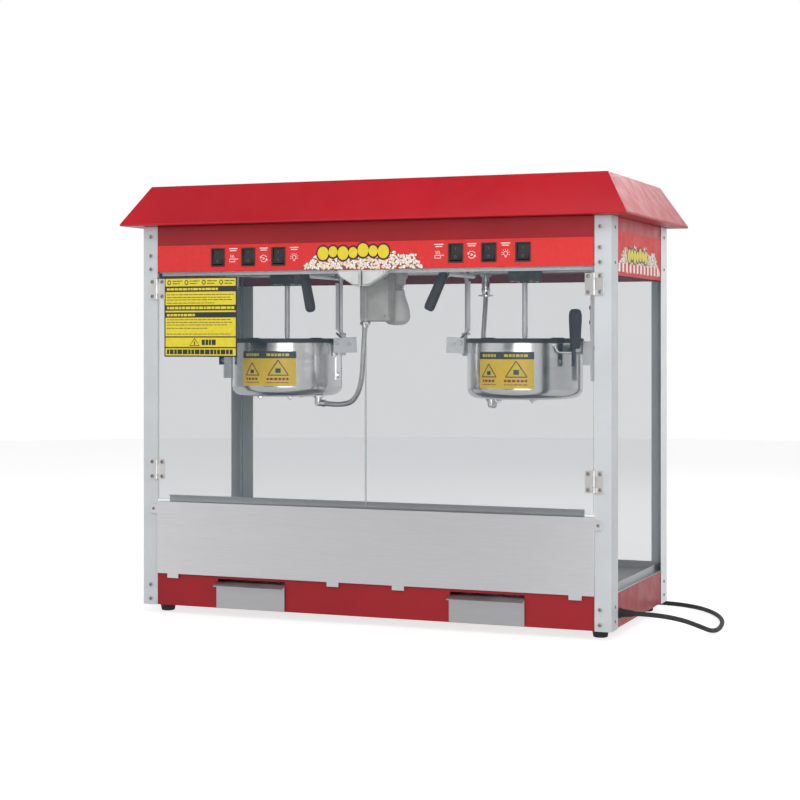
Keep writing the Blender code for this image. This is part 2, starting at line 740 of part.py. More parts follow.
def lift_lever(name, side, material):
    """A grip and a rod at the front, and a fork above the ceiling that lifts the shaft."""
    rod_end = KETTLE_Y + 0.010
    arm = [
        (LEVER_X - 0.002, LEVER_Z - 0.002),
        (LEVER_X + 0.002, LEVER_Z - 0.002),
        (LEVER_X + 0.002, FORK_TOP - 0.003),
        (KETTLE_X + 0.051, FORK_TOP - 0.003),
        (KETTLE_X + 0.051, FORK_TOP),
        (LEVER_X - 0.002, FORK_TOP),
    ]
    outline = [(side * x, z) for x, z in arm]
    grip = [(side * 0.1132, -0.1846, 0.5600), (side * LEVER_X, -0.1634, LEVER_Z + 0.003)]
    shapes = [
        prism(outline, "Y", KETTLE_Y - 0.010, KETTLE_Y + 0.010),
        rod((side * LEVER_X, -0.168, LEVER_Z), (side * LEVER_X, rod_end, LEVER_Z), ROD_RADIUS, segments=12),
        capsule(*grip, 0.0095),
    ]
    slot_x = ordered(side, KETTLE_X - 0.011, KETTLE_X + 0.060)
    slot = block(slot_x, (KETTLE_Y - 0.0065, KETTLE_Y + 0.0065), (FORK_TOP - 0.01, FORK_TOP + 0.01))
    return make(name, material, shapes, [slot], pivot=(side * LEVER_X, rod_end, LEVER_Z))


def tilt_handle(name, side, material):
    """The grip that tips a kettle, on a flat bar that is clamped to the outer pivot pin."""
    bar_x = ordered(side, *TILT_BAR)
    grip_x, grip_y = side * TILT_GRIP[0], TILT_GRIP[1]
    profile = [
        (0.0080, 0.4920),
        (0.0095, 0.4970),
        (0.0105, 0.5200),
        (0.0116, 0.5450),
        (0.0108, 0.5575),
        (0.0070, 0.5635),
    ]
    ends = [(x, KETTLE_Y, PIVOT_Z) for x in bar_x]
    shapes = [
        block(bar_x, (-0.087, -0.073), (0.461, 0.505)),
        block(bar_x, (-0.087, -0.011), (0.486, 0.500)),
        rod(*ends, TILT_BOSS_RADIUS),
        turned(profile, (grip_x, grip_y), segments=14),
    ]
    hole = [(side * x, KETTLE_Y, PIVOT_Z) for x in (0.340, 0.360)]
    return make(name, material, shapes, [rod(*hole, PIN_HOLE)], pivot=(side * KETTLE_X, KETTLE_Y, PIVOT_Z))


def hanger(name, side, material):
    """The bracket under the ceiling that carries both pivot pins of one kettle."""
    rear = HANGER_REAR
    outline = [
        (rear, HANGER_TOP),
        (-0.025, HANGER_TOP),
        (-0.027, 0.590),
        (-0.034, 0.5835),
        (-0.034, 0.4345),
        (-0.004, 0.4345),
        (-0.004, 0.5835),
        (0.010, 0.600),
        (rear, 0.615),
    ]
    ledge = (KETTLE_Y - 0.011, KETTLE_Y + 0.011)
    strap_z = (HANGER_TOP - 0.0025, HANGER_TOP)
    foot_of_rod = (side * HANGER_ROD_X, KETTLE_Y, 0.519)
    shapes = [
        block(ordered(side, HANGER_INNER[0], HANGER_OUTER[1]), (0.008, rear), strap_z),
        prism(outline, "X", *ordered(side, *HANGER_OUTER)),
        block(ordered(side, 0.122, 0.1295), (KETTLE_Y - 0.008, rear), (HANGER_TOP - 0.005, HANGER_TOP)),
        rod(foot_of_rod, (side * HANGER_ROD_X, KETTLE_Y, 0.633), HANGER_ROD_RADIUS, segments=12),
        block(ordered(side, HANGER_INNER[0], 0.1305), ledge, (0.518, 0.521)),
        block(ordered(side, *HANGER_INNER), ledge, (0.479, 0.521)),
    ]
    cuts = []
    for low, high in (HANGER_INNER, HANGER_OUTER):
        ends = [(side * x, KETTLE_Y, PIVOT_Z) for x in (low - 0.003, high + 0.003)]
        cuts.append(rod(*ends, PIN_HOLE))
    return make(name, material, shapes, cuts)


def lamp(material):
    """The reflector bulb that keeps the popcorn warm, hanging from its holder."""
    profile = [
        (0.0120, 0.5355),
        (0.0200, 0.5385),
        (0.0245, 0.5460),
        (0.0250, 0.5560),
        (0.0220, 0.5720),
        (0.0160, 0.5880),
        (0.0145, 0.6000),
        (0.0145, CEILING_BOTTOM - 0.001),
    ]
    return make("warming_lamp", material, [turned(profile, (0.0, LAMP_Y), segments=18)])


def junction_box(material):
    """The plastic box where the left kettle's conduit ends."""
    shape = block(*JUNCTION_BOX, (JUNCTION_BOX_BOTTOM, CEILING_BOTTOM - 0.001))
    return make("junction_box", material, [shape])


def mains_lead(rubber):
    """The gland in the skirt, the lead, its coil behind the cabinet and its plug."""
    y, z = GLAND_PLACE
    skin = SKIN_X + GAP
    gland = [
        rod((skin, y, z), (skin + 0.0025, y, z), 0.009),
        rod((skin - 0.005, y, z), (skin + 0.001, y, z), 0.0055),
        rod((skin + 0.002, y, z), (0.4735, y, z), 0.0075, 0.0052),
    ]
    make("cord_gland", rubber, gland)
    tube("power_cord", rubber, CORD_ROUTE, CORD_RADIUS)
    inner, outer = COIL_RADIUS - COIL_HALF_BAND, COIL_RADIUS + COIL_HALF_BAND
    soft = 0.004
    section = [
        (inner + soft, 0.0),
        (outer - soft, 0.0),
        (outer, soft),
        (outer, COIL_HEIGHT - soft),
        (outer - soft, COIL_HEIGHT),
        (inner + soft, COIL_HEIGHT),
        (inner, COIL_HEIGHT - soft),
        (inner, soft),
    ]
    make("cord_coil", rubber, [turned(section, COIL_CENTRE, 28, ring=True)])
    tip_y, tip_z = COIL_CENTRE[1] - COIL_RADIUS, PLUG_HEIGHT
    plug = [
        rod((0.3040, tip_y, tip_z), (0.2690, tip_y, tip_z), 0.0130, 0.0125),
        rod((0.3210, tip_y, tip_z), (0.3030, tip_y, tip_z), 0.0048, 0.0075),
    ]
    for offset in (-PLUG_PIN_OFFSET, PLUG_PIN_OFFSET):
        start = (0.2700, tip_y + offset, tip_z)
        plug.append(rod(start, (0.2500, tip_y + offset, tip_z), 0.0022, segments=12))
    make("mains_plug", rubber, plug)


def clear_scene():
    for old in list(bpy.data.objects):
        bpy.data.objects.remove(old, do_unlink=True)


def main():
    clear_scene()
    red = finish("red_paint", (0.52, 0.02, 0.03), 0.35)
    powder = finish("powder_coat", (0.70, 0.72, 0.74), 0.5)
    steel = finish("stainless", (0.62, 0.62, 0.61), 0.3, 1.0)
    polished = finish("polished_steel", (0.72, 0.72, 0.70), 0.15, 1.0)
    nickel = finish("nickel", (0.66, 0.65, 0.62), 0.3, 1.0)
    glass = finish("clear_glass", (0.86, 0.90, 0.90), 0.05, 0.0, 0.25)
    black = finish("black_plastic", (0.03, 0.03, 0.035), 0.5)
    white = finish("white_plastic", (0.80, 0.80, 0.79), 0.4)
    beige = finish("beige_plastic", (0.48, 0.45, 0.40), 0.5)
    iron = finish("dark_casting", (0.10, 0.10, 0.11), 0.5, 0.6)
    rubber = finish("black_rubber", (0.02, 0.02, 0.02), 0.7)
    frosted = finish("frosted_glass", (0.75, 0.74, 0.71), 0.4)
    galvanised = finish("conduit_steel", (0.45, 0.45, 0.44), 0.4, 1.0)

    for end_name, end in (("front", -1), ("rear", 1)):
        for word, side in SIDES:
            post(f"post_{end_name}_{word}", side, end, powder)
            place = (side * FOOT_PLACE[0], end * FOOT_PLACE[1])
            foot(f"foot_{end_name}_{word}", *place, rubber)
    roof(red)
    front_fascia(red)
    upper_housing(red)
    ceiling_plate(steel)
    base_shell(red)
    floor_tray(steel)
    sill_panel(steel)
    fixed_glass(glass)
    lamp(frosted)
    junction_box(beige)
    for word, side in SIDES:
        door(side, glass, nickel, white)
        drawer(f"crumb_drawer_{word}", side, steel)
        for switch, place in SWITCHES[word]:
            rocker(f"rocker_{switch}_{word}", place, black)
        kettle(f"kettle_{word}", side, polished)
        lid_flap(f"lid_flap_{word}", side, black)
        agitator(f"agitator_{word}", side, steel)
        drive_shaft(f"drive_shaft_{word}", side, steel)
        drive_hub(f"drive_hub_{word}", side, iron)
        gear_motor(f"gear_motor_{word}", side, iron)
        lift_lever(f"lift_lever_{word}", side, black)
        tilt_handle(f"tilt_handle_{word}", side, black)
        hanger(f"hanger_{word}", side, steel)
        tube(f"conduit_{word}", galvanised, CONDUIT_ROUTES[word], CONDUIT_RADIUS)
    mains_lead(rubber)


main()
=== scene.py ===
"""Looks of the two-kettle popcorn machine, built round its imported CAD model.

Metres, +Z up, in the CAD frame: the origin is on the table under the middle of the roof,
+X runs to the right of someone who faces the doors, and +Y runs to the back. Left and
right pieces mirror each other, so many functions take side = -1 (left) or +1 (right).
mm() writes a list of points shortly, in millimetres: for a turned shape each pair is a
radius and a height, and for a flat outline it is a place across and a height.
"""

import math
import random

import bmesh
import bpy
from mathutils import Matrix, Vector


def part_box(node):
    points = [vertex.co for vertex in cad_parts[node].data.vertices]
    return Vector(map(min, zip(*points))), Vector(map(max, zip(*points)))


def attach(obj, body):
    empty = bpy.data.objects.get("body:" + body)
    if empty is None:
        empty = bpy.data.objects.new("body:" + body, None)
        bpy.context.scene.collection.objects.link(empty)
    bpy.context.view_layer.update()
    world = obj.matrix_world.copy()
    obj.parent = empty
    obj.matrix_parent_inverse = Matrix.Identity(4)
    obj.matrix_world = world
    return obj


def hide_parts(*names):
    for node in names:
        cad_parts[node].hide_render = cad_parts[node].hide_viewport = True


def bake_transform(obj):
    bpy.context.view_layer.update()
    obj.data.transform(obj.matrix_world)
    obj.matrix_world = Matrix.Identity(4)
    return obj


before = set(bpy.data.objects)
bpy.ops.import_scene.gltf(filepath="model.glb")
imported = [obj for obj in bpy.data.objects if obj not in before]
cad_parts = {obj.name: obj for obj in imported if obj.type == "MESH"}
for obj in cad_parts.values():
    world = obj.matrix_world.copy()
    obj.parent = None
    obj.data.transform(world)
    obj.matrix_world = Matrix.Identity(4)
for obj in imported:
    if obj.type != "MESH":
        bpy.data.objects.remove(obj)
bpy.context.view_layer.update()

SIDES = (("left", -1), ("right", 1))
X_AXIS, Y_AXIS, Z_AXIS = Vector((1, 0, 0)), Vector((0, 1, 0)), Vector((0, 0, 1))


def mm(*numbers, by=2):
    """Points in metres, from rows of two or three numbers in millimetres."""
    metres = [number / 1000 for number in numbers]
    return [tuple(metres[start : start + by]) for start in range(0, len(metres), by)]


# Camera, level and a little to the right of the front
CAMERA_PLACE = (1.2469, -3.1568, 0.509)
CAMERA_TURN = 21.767
CAMERA_LENS = 81.2
CAMERA_SHIFT_DOWN = -0.0755

# What the steel reflects, left to right, and the lights' places, sizes and powers
STUDIO_BANDS = (
    (0.0, 0.45), (0.08, 1.0), (0.275, 1.0), (0.305, 0.34),
    (0.42, 0.36), (0.5, 0.95), (0.8, 1.0), (1.0, 0.7),
)
STUDIO_LIGHTS = (
    ("key", (0.9, -2.4, 3.0), (1.8, 1.8), 22),
    ("left", (-2.6, -1.8, 1.5), (1.4, 1.4), 13),
    ("right", (2.7, -1.2, 1.6), (1.4, 1.8), 20),
    ("low", (0.9, -3.0, 0.8), (1.7, 1.4), 25),
    ("back", (0.3, 2.6, 2.2), (2.0, 1.2), 26),
)

# Mains lead: the same route as the CAD tube, then three turns of coil
CORD_RADIUS = 0.004
CORD_EXIT = (0.4738, -0.14, 0.04)
CORD_ROUTE = (
    CORD_EXIT,
    (0.5, -0.1398, 0.0395), (0.53, -0.1365, 0.037), (0.558, -0.125, 0.03), (0.579, -0.104, 0.019),
    (0.591, -0.074, 0.0085), (0.595, -0.038, 0.0043), (0.593, 0.005, 0.0041), (0.584, 0.06, 0.0041),
    (0.567, 0.115, 0.0041), (0.542, 0.165, 0.0041), (0.51, 0.206, 0.0041), (0.472, 0.233, 0.0041),
    (0.434, 0.244, 0.0041), (0.3985, 0.2465, 0.0041),
)
COIL_CENTRE = (0.36, 0.29)
COIL_OUTER = 0.0508
COIL_INNER = 0.0422
COIL_LOW = 0.0041
COIL_HIGH = 0.0123
PLUG_Y, PLUG_Z = 0.244, 0.0135
PLUG_ROUTE = ((0.35, 0.2405, 0.0127), (0.335, 0.2435, 0.0134), (0.3205, PLUG_Y, PLUG_Z))

# Flexible conduits, along the same routes as the CAD tubes
CONDUIT_RADIUS = 0.005
CONDUIT_PITCH = 0.0032
CONDUIT_ROUTES = {
    "left": mm(
        -168, -40, 389, -150, -43, 388.5, -128, -50, 387.5, -104, -58, 388.5, -82, -68, 395,
        -65, -78, 414, -54.5, -88, 440, -48, -97, 477.5, -43.5, -102, 515, -41.5, -102.5, 541.5, by=3,
    ),
    "right": mm(
        168, -6, 389, 168, 6, 389, 164, 25, 389.3, 150, 52, 391, 133, 78, 402, 122, 91, 430, 119, 94, 465,
        120.5, 92, 510, 124, 89, 550, 127, 87, 585, 128, 85, 615, 128, 85, 635, by=3,
    ),
}

# Places worked out from the frame
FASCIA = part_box("front_fascia")
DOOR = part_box("door_right")
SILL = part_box("sill_panel")
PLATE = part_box("ceiling_plate")
FACE_Y = FASCIA[0].y
BAND_TOP = 0.6832
NOTICE = (-0.4054, -0.2547, 0.4772, 0.6243)
BLOB_RISE = 0.0315
SWITCH_USES = ("heat", "stir", "light")
SYMBOL_Z, CAPTION_Z = 0.6565, 0.6755
APRON_FOOT, APRON_HALF = 0.6215, 0.155
HOSE_GROOVE = 0.00035
KERNEL_SIZE, KERNEL_SPACING, KERNEL_ROW = 0.0052, 0.0066, 0.0058

# Moving pieces, as in the CAD
DOOR_AXIS = (0.4205, -0.2035)
HINGE_HALF = 0.019
HINGE_KNUCKLE = 0.0092
SWITCH_AXIS = (-0.1975, 0.66)
KETTLE_X, KETTLE_Y = 0.239, -0.019
POT_RADIUS, POT_BOTTOM, POT_RIM, POT_CORNER = 0.105, 0.403, 0.506, 0.018
PIVOT_Z = 0.493
LID_RADIUS, LID_TOP, LID_SPLIT = 0.107, 0.5113, -0.0121
FITTING = {"left": (-0.164, -0.04), "right": (0.168, 0.0)}
SHAFT_BOTTOM, SHAFT_TOP = 0.5133, 0.712
LEVER_X, LEVER_Z = 0.1364, 0.6255
FORK_TOP = 0.691
HANGER_ROD_X = 0.1265
LABEL_ANGLES = {"left": (-26.6, 34.4), "right": (-32.0, 26.8)}
LABEL_LOW, LABEL_HIGH = 0.4222, 0.4873
HEADER_HEIGHT = 0.0131


# ---- node materials


def feed(tree, node, **inputs):
    """Sets a node's inputs, or links them where an output is given."""
    for name, value in inputs.items():
        socket = node.inputs[name.replace("_", " ")]
        if isinstance(value, bpy.types.NodeSocket):
            tree.links.new(value, socket)
        else:
            socket.default_value = value


def new_node(tree, kind, **inputs):
    node = tree.nodes.new(f"ShaderNode{kind}")
    feed(tree, node, **inputs)
    return node


def remap(tree, factor, start, end, low, high):
    """The factor's stretch start..end carried to low..high."""
    ends = {"From_Min": start, "From_Max": end, "To_Min": low, "To_Max": high}
    return new_node(tree, "MapRange", Value=factor, **ends).outputs["Result"]


class Look:
    """A Principled material and short ways to feed its sockets from procedural textures."""

    def __init__(self, name, colour, roughness, metallic=0.0, **sockets):
        self.material = bpy.data.materials.new(name)
        self.material.use_nodes = True
        self.tree = self.material.node_tree
        self.set(Base_Color=(*colour, 1.0), Roughness=roughness, Metallic=metallic, **sockets)

    def set(self, **sockets):
        feed(self.tree, self.tree.nodes["Principled BSDF"], **sockets)
        return self

    def noise(self, scale, stretch=(1, 1, 1), detail=3.0):
        """Noise in the object's own coordinates, finer along the axes with a larger stretch."""
        place = new_node(self.tree, "TexCoord").outputs["Object"]
        vector = new_node(self.tree, "Mapping", Vector=place, Scale=stretch).outputs["Vector"]
        return new_node(self.tree, "TexNoise", Vector=vector, Scale=scale, Detail=detail).outputs["Fac"]

    def between(self, factor, low, high, start=0.35, end=0.65):
        return remap(self.tree, factor, start, end, low, high)

    def tint(self, factor, first, second):
        mix = new_node(self.tree, "Mix")
        mix.data_type = "RGBA"
        self.tree.links.new(factor, mix.inputs[0])
        for socket, colour in ((6, first), (7, second)):
            mix.inputs[socket].default_value = (*colour, 1.0)
        return self.set(Base_Color=mix.outputs[2])

    def mottle(self, scale, first, second):
        """Blotches between two colours."""
        return self.tint(self.between(self.noise(scale), 0.0, 1.0), first, second)

    def roughen(self, factor, low, high):
        return self.set(Roughness=self.between(factor, low, high))

    def bump(self, factor, strength, distance):
        node = new_node(self.tree, "Bump", Height=factor, Strength=strength, Distance=distance)
        return self.set(Normal=node.outputs["Normal"])


def shade(colour, factor):
    return tuple(channel * factor for channel in colour)


def enamel(name, colour, roughness):
    """Baked gloss paint: faint mottling, and a slight orange-peel surface."""
    look = Look(name, colour, roughness, Specular_IOR_Level=0.3)
    look.mottle(6.0, shade(colour, 0.93), shade(colour, 1.05))
    look.roughen(look.noise(35.0), roughness - 0.05, roughness + 0.07)
    return look.bump(look.noise(350.0, detail=1.0), 0.03, 0.0003).material


def powder_coat(name, colour):
    """Light grey powder coat with its fine pebbled surface."""
    look = Look(name, colour, 0.45)
    look.mottle(14.0, shade(colour, 0.96), shade(colour, 1.03))
    look.roughen(look.noise(90.0), 0.38, 0.52)
    return look.bump(look.noise(1500.0, detail=1.0), 0.22, 0.0003).material


def brushed(name, colour, roughness, grain):
    """Brushed sheet steel. Grain is the stretch of its noise: small along the brushing."""
    look = Look(name, colour, roughness, 1.0, Anisotropic=0.75, Anisotropic_Rotation=0.25)
    fine = look.noise(900.0, grain, 2.0)
    look.tint(look.between(fine, 0.0, 1.0, 0.3, 0.7), shade(colour, 0.97), shade(colour, 1.03))
    look.roughen(look.noise(60.0, grain), roughness - 0.02, roughness + 0.03)
    return look.bump(fine, 0.05, 0.0001).material


def polished(name, colour, roughness):
    """Polished metal with faint wiping marks."""
    look = Look(name, colour, roughness, 1.0)
    look.roughen(look.noise(22.0, (1.0, 1.0, 4.0)), roughness - 0.03, roughness + 0.07)
    look.mottle(9.0, shade(colour, 0.95), shade(colour, 1.03))
    return look.bump(look.noise(180.0, (1.0, 1.0, 0.1)), 0.03, 0.0002).material


def moulded(name, colour, roughness, grain=900.0, depth=0.0003):
    """Moulded plastic or rubber with a fine spark-eroded texture."""
    look = Look(name, colour, roughness)
    look.mottle(40.0, shade(colour, 0.88), shade(colour, 1.12))
    look.roughen(look.noise(60.0), roughness - 0.06, roughness + 0.08)
    return look.bump(look.noise(grain, detail=2.0), 0.25, depth).material


def satin_metal():
    """Zinc-plated bracket steel, pale and matt."""
    look = Look("satin_bracket", (0.8, 0.81, 0.82), 0.4, 0.25)
    look.mottle(24.0, (0.75, 0.76, 0.77), (0.85, 0.86, 0.87))
    return look.roughen(look.noise(70.0), 0.34, 0.48).material


def cast_metal():
    """Painted zinc casting, with a coarse skin."""
    look = Look("dark_casting_skin", (0.085, 0.083, 0.088), 0.5, 0.3)
    look.mottle(50.0, (0.065, 0.063, 0.068), (0.11, 0.108, 0.112))
    look.roughen(look.noise(120.0), 0.42, 0.6)
    return look.bump(look.noise(420.0), 0.3, 0.0005).material


def clear_glass():
    """A clear pane, see-through by alpha, with faint wiping smears in its gloss."""
    look = Look("clear_pane", (0.1, 0.16, 0.2), 0.04, Specular_IOR_Level=0.15, Alpha=0.115)
    return look.roughen(look.noise(5.0, (1.0, 1.0, 0.6)), 0.02, 0.07).material


def glass_edge():
    """The ground edge of a pane, where the glass looks pale green."""
    look = Look("pane_edge", (0.42, 0.5, 0.48), 0.25, Alpha=0.85)
    look.roughen(look.noise(80.0), 0.18, 0.34)
    return look.tint(look.noise(30.0), (0.36, 0.44, 0.43), (0.52, 0.6, 0.58)).material


def frosted_glass():
    """Etched bulb glass."""
    look = Look("frosted_bulb", (0.84, 0.83, 0.81), 0.42, Coat_Weight=0.3, Coat_Roughness=0.2)
    look.mottle(25.0, (0.79, 0.78, 0.76), (0.88, 0.87, 0.85))
    return look.bump(look.noise(1200.0), 0.15, 0.0002).material


def translucent_plastic():
    """Milky moulded plastic, as on the door pulls."""
    look = Look("milky_plastic", (0.66, 0.67, 0.67), 0.34, Subsurface_Weight=0.25)
    look.set(Subsurface_Radius=(0.006, 0.006, 0.006))
    look.mottle(30.0, (0.62, 0.63, 0.63), (0.71, 0.71, 0.71))
    return look.roughen(look.noise(60.0), 0.28, 0.42).material


def printed(name, colour, roughness=0.4):
    """Ink on a vinyl label, with the faint unevenness of a print."""
    look = Look(name, colour, roughness)
    look.mottle(120.0, shade(colour, 0.95), shade(colour, 1.04))
    return look.roughen(look.noise(45.0), roughness - 0.06, roughness + 0.06).material


def make_materials():
    """Every finish on the object, by a short name."""
    along_x, along_z = (0.03, 1.0, 1.0), (1.0, 1.0, 0.03)
    return {
        "red": enamel("red_enamel", (0.51, 0.014, 0.024), 0.36),
        # Painted shade: a darker copy of the red enamel, for the skirt and for the strip under the roof,
        # where shade falls.
        "shaded_red": enamel("shaded_red_enamel", (0.345, 0.013, 0.02), 0.36),
        "band": printed("red_vinyl", (0.72, 0.02, 0.018), 0.5),
        "powder": powder_coat("powder_coat_grey", (0.6, 0.63, 0.655)),
        # Painted light: a paler copy of the powder coat, so that the rear posts look lit behind the glass.
        "brightened_rear_powder": powder_coat("rear_post_coat_painted_light", (0.86, 0.89, 0.92)),
        "sill": brushed("sill_steel", (0.7, 0.7, 0.72), 0.38, along_x),
        "sheet": brushed("sheet_steel", (0.5, 0.5, 0.51), 0.34, along_x),
        "upright": brushed("bracket_steel", (0.62, 0.62, 0.62), 0.32, along_z),
        "ceiling": brushed("ceiling_steel", (0.62, 0.6, 0.61), 0.2, along_x),
        "pot": polished("kettle_steel", (0.7, 0.7, 0.69), 0.17),
        "satin": satin_metal(),
        "chrome": polished("chrome_rod", (0.8, 0.8, 0.8), 0.12),
        "zinc": polished("zinc_screw", (0.66, 0.66, 0.64), 0.3),
        "rusty": polished("worn_screw", (0.3, 0.27, 0.26), 0.45),
        "nickel": brushed("hinge_nickel", (0.66, 0.66, 0.65), 0.36, along_z),
        "hose": polished("conduit_steel_skin", (0.52, 0.52, 0.51), 0.34),
        "pane": clear_glass(),
        "edge": glass_edge(),
        "bulb": frosted_glass(),
        "milky": translucent_plastic(),
        "pull_rim": moulded("pull_rim_moulding", (0.46, 0.46, 0.47), 0.45),
        "black": moulded("black_moulding", (0.014, 0.014, 0.016), 0.48),
        "grip": moulded("grip_sleeve", (0.03, 0.029, 0.034), 0.62, 500.0, 0.0005),
        "rubber": moulded("black_rubber_skin", (0.018, 0.018, 0.019), 0.66),
        "lid": moulded("lid_coating", (0.018, 0.018, 0.021), 0.46, 300.0, 0.0004),
        "beige": moulded("beige_moulding", (0.59, 0.575, 0.545), 0.48),
        "rib": moulded("rib_moulding", (0.43, 0.415, 0.39), 0.52),
        "porcelain": moulded("holder_porcelain", (0.7, 0.68, 0.62), 0.3),
        "cast": cast_metal(),
        # Painted light: near-white, so that the strip under the switch panel looks lit. The hanger lugs
        # share this finish.
        "whitened_trim": printed("trim_whitened_for_light", (0.9, 0.92, 0.95), 0.35),
        # Painted shade: near-black for the screws' crosses, which stand in for recesses that are not cut.
        # The hanger plate's bolt heads also use it.
        "recess_shade_and_black_heads": moulded("recess_shade_and_bolt_heads", (0.03, 0.03, 0.03), 0.6),
        "mark": printed("white_ink", (0.82, 0.81, 0.78)),
        "worn_mark": printed("worn_white_ink", (0.13, 0.12, 0.12)),
        "yellow": printed("yellow_vinyl", (0.8, 0.66, 0.03)),
        "ink": printed("black_ink", (0.02, 0.022, 0.024)),
        "mustard": printed("mustard_vinyl", (0.92, 0.61, 0.03)),
        "header": printed("header_ink", (0.045, 0.05, 0.062)),
        "plum": printed("plum_ink", (0.08, 0.01, 0.03)),
        "cream": printed("cream_ink", (0.86, 0.7, 0.52)),
        "pale": printed("pale_ink", (0.88, 0.87, 0.84)),
        "tan": printed("tan_ink", (0.56, 0.36, 0.2)),
        "shadow": printed("brown_ink", (0.26, 0.06, 0.04)),
    }


# ---- shapes in mesh code


def span(side, low, high):
    """The stretch low..high along X, mirrored to this side."""
    return tuple(sorted((side * low, side * high)))


def about(middle, half):
    """The stretch from half below the middle to half above it."""
    return (middle - half, middle + half)


def mirrored(side, points):
    """Points of the right-hand piece carried to this side."""
    return [(side * point[0], *point[1:]) for point in points]


def new_shape():
    return bmesh.new()


def paint(verts, number):
    """Gives the faces of a new shape this material number."""
    for face in {face for vert in verts for face in vert.link_faces}:
        face.material_index = number


def repeated(count, pitch, profile):
    """A stretch of profile count times over, each a pitch further along."""
    return [(radius, height + pitch * turn) for turn in range(count) for radius, height in profile]


def finish_faces(shape, faces, ink):
    """Turns new faces outward and gives them their material number."""
    bmesh.ops.recalc_face_normals(shape, faces=faces)
    for face in faces:
        face.material_index = ink


def bridge(shape, first, second, closed=True):
    """The faces between two rings, or open rows, of as many points."""
    pairs = list(zip(first, second))
    following = pairs[1:] + (pairs[:1] if closed else [])
    return [shape.faces.new((a, b, d, c)) for (a, c), (b, d) in zip(pairs, following)]


def round_edges(shape, verts, width, segments=2, angle=25):
    """Rounds the edges of one new shape that are sharper than the angle."""
    if not width:
        return
    limit = math.radians(angle)
    edges = {edge for vert in verts for edge in vert.link_edges}
    sharp = [edge for edge in edges if edge.is_manifold and edge.calc_face_angle() > limit]
    bmesh.ops.bevel(
        shape, geom=sharp, offset=width, segments=segments, profile=0.5, affect="EDGES", clamp_overlap=True
    )


def block(shape, x, y, z, edge=0.0, ink=0):
    """A box between the two ends of x, y and z, with rounded edges."""
    verts = bmesh.ops.create_cube(shape, size=1.0)["verts"]
    bmesh.ops.scale(shape, vec=[high - low for low, high in (x, y, z)], verts=verts)
    bmesh.ops.translate(shape, vec=[(low + high) / 2 for low, high in (x, y, z)], verts=verts)
    paint(verts, ink)
    round_edges(shape, verts, edge)


def prism(shape, outline, axis, low, high, edge=0.0, ink=0):
    """A flat outline carried along X, Y or Z. Its points are the other two coordinates."""
    slot = "XYZ".index(axis)
    rings = []
    for level in (low, high):
        points = [(*point[:slot], level, *point[slot:]) for point in outline]
        rings.append([shape.verts.new(point) for point in points])
    faces = [*map(shape.faces.new, rings), *bridge(shape, *rings)]
    finish_faces(shape, faces, ink)
    round_edges(shape, rings[0] + rings[1], edge)


def lathe(shape, profile, base, axis=Z_AXIS, segments=40, ring=False, ink=0):
    """A profile of (radius, height) turned about the line from base along axis.

    A radius of 0 closes the shape in a point. Otherwise the ends are capped, or joined to
    each other where ring is set.
    """
    turn = Z_AXIS.rotation_difference(Vector(axis)).to_matrix()
    rings = []
    for radius, height in profile:
        angles = [math.tau * number / segments for number in range(segments if radius else 1)]
        places = [Vector((radius * math.cos(angle), radius * math.sin(angle), height)) for angle in angles]
        rings.append([shape.verts.new(Vector(base) + turn @ place) for place in places])
    pairs = list(zip(rings, rings[1:])) + ([(rings[-1], rings[0])] if ring else [])
    faces = []
    for below, above in pairs:
        for number in range(segments):
            after = (number + 1) % segments
            corners = [below[number % len(below)], below[after % len(below)]]
            corners += [above[after % len(above)], above[number % len(above)]]
            faces.append(shape.faces.new(list(dict.fromkeys(corners))))
    if not ring:
        faces += [shape.faces.new(end) for end in (rings[0], rings[-1]) if len(end) > 1]
    finish_faces(shape, faces, ink)


def rod(shape, start, end, radius, edge=0.0004, segments=24, ink=0):
    """A round bar with chamfered ends."""
    start, end = Vector(start), Vector(end)
    length = (end - start).length
    profile = [(radius - edge, 0.0), (radius, edge), (radius, length - edge), (radius - edge, length)]
    lathe(shape, profile, start, end - start, segments, ink=ink)


def hex_nut(shape, base, axis, width, height, ink=0):
    """A six-sided nut or bolt head with its corners turned off."""
    corner = width / math.sqrt(3)
    profile = [
        (corner * 0.9, 0.0), (corner, height * 0.15), (corner, height * 0.85), (corner * 0.9, height),
    ]
    lathe(shape, profile, base, axis, 6, ink=ink)


def screw(shape, centre, axis, radius=0.0032, ink=0):
    """A pan-head screw with a near-black cross, painted shade in place of a cut recess, standing out of a
    face along axis.
    """
    height = 0.42 * radius
    dome = [(radius, 0.0), (radius, 0.35 * height), (0.86 * radius, 0.8 * height), (0.5 * radius, height)]
    lathe(shape, [(radius * 0.96, -0.0006), *dome, (0.0, 1.02 * height)], centre, axis, 20, ink=ink)
    axis = Vector(axis).normalized()
    turn = Z_AXIS.rotation_difference(axis).to_matrix().to_4x4()
    for angle in (25, 115):
        verts = bmesh.ops.create_cube(shape, size=1.0)["verts"]
        bmesh.ops.scale(shape, vec=(1.05 * radius, 0.22 * radius, 0.1 * height), verts=verts)
        spin = Matrix.Rotation(math.radians(angle), 4, "Z")
        lift = Matrix.Translation((0, 0, 1.02 * height))
        bmesh.ops.transform(shape, matrix=Matrix.Translation(centre) @ turn @ lift @ spin, verts=verts)
        paint(verts, 1)


def smooth_path(points, step):
    """Points about step apart along one smooth curve through the given ones."""
    points = [Vector(point) for point in points]
    points = [2 * points[0] - points[1], *points, 2 * points[-1] - points[-2]]
    path = []
    for before, start, end, after in zip(points, points[1:], points[2:], points[3:]):
        count = max(1, round((end - start).length / step))
        for number in range(count):
            t = number / count
            bend = 2 * before - 5 * start + 4 * end - after
            twist = 3 * start - before - 3 * end + after
            path.append(start + (t * (end - before) + t * t * bend + t**3 * twist) / 2)
    path.append(points[-2])
    return path


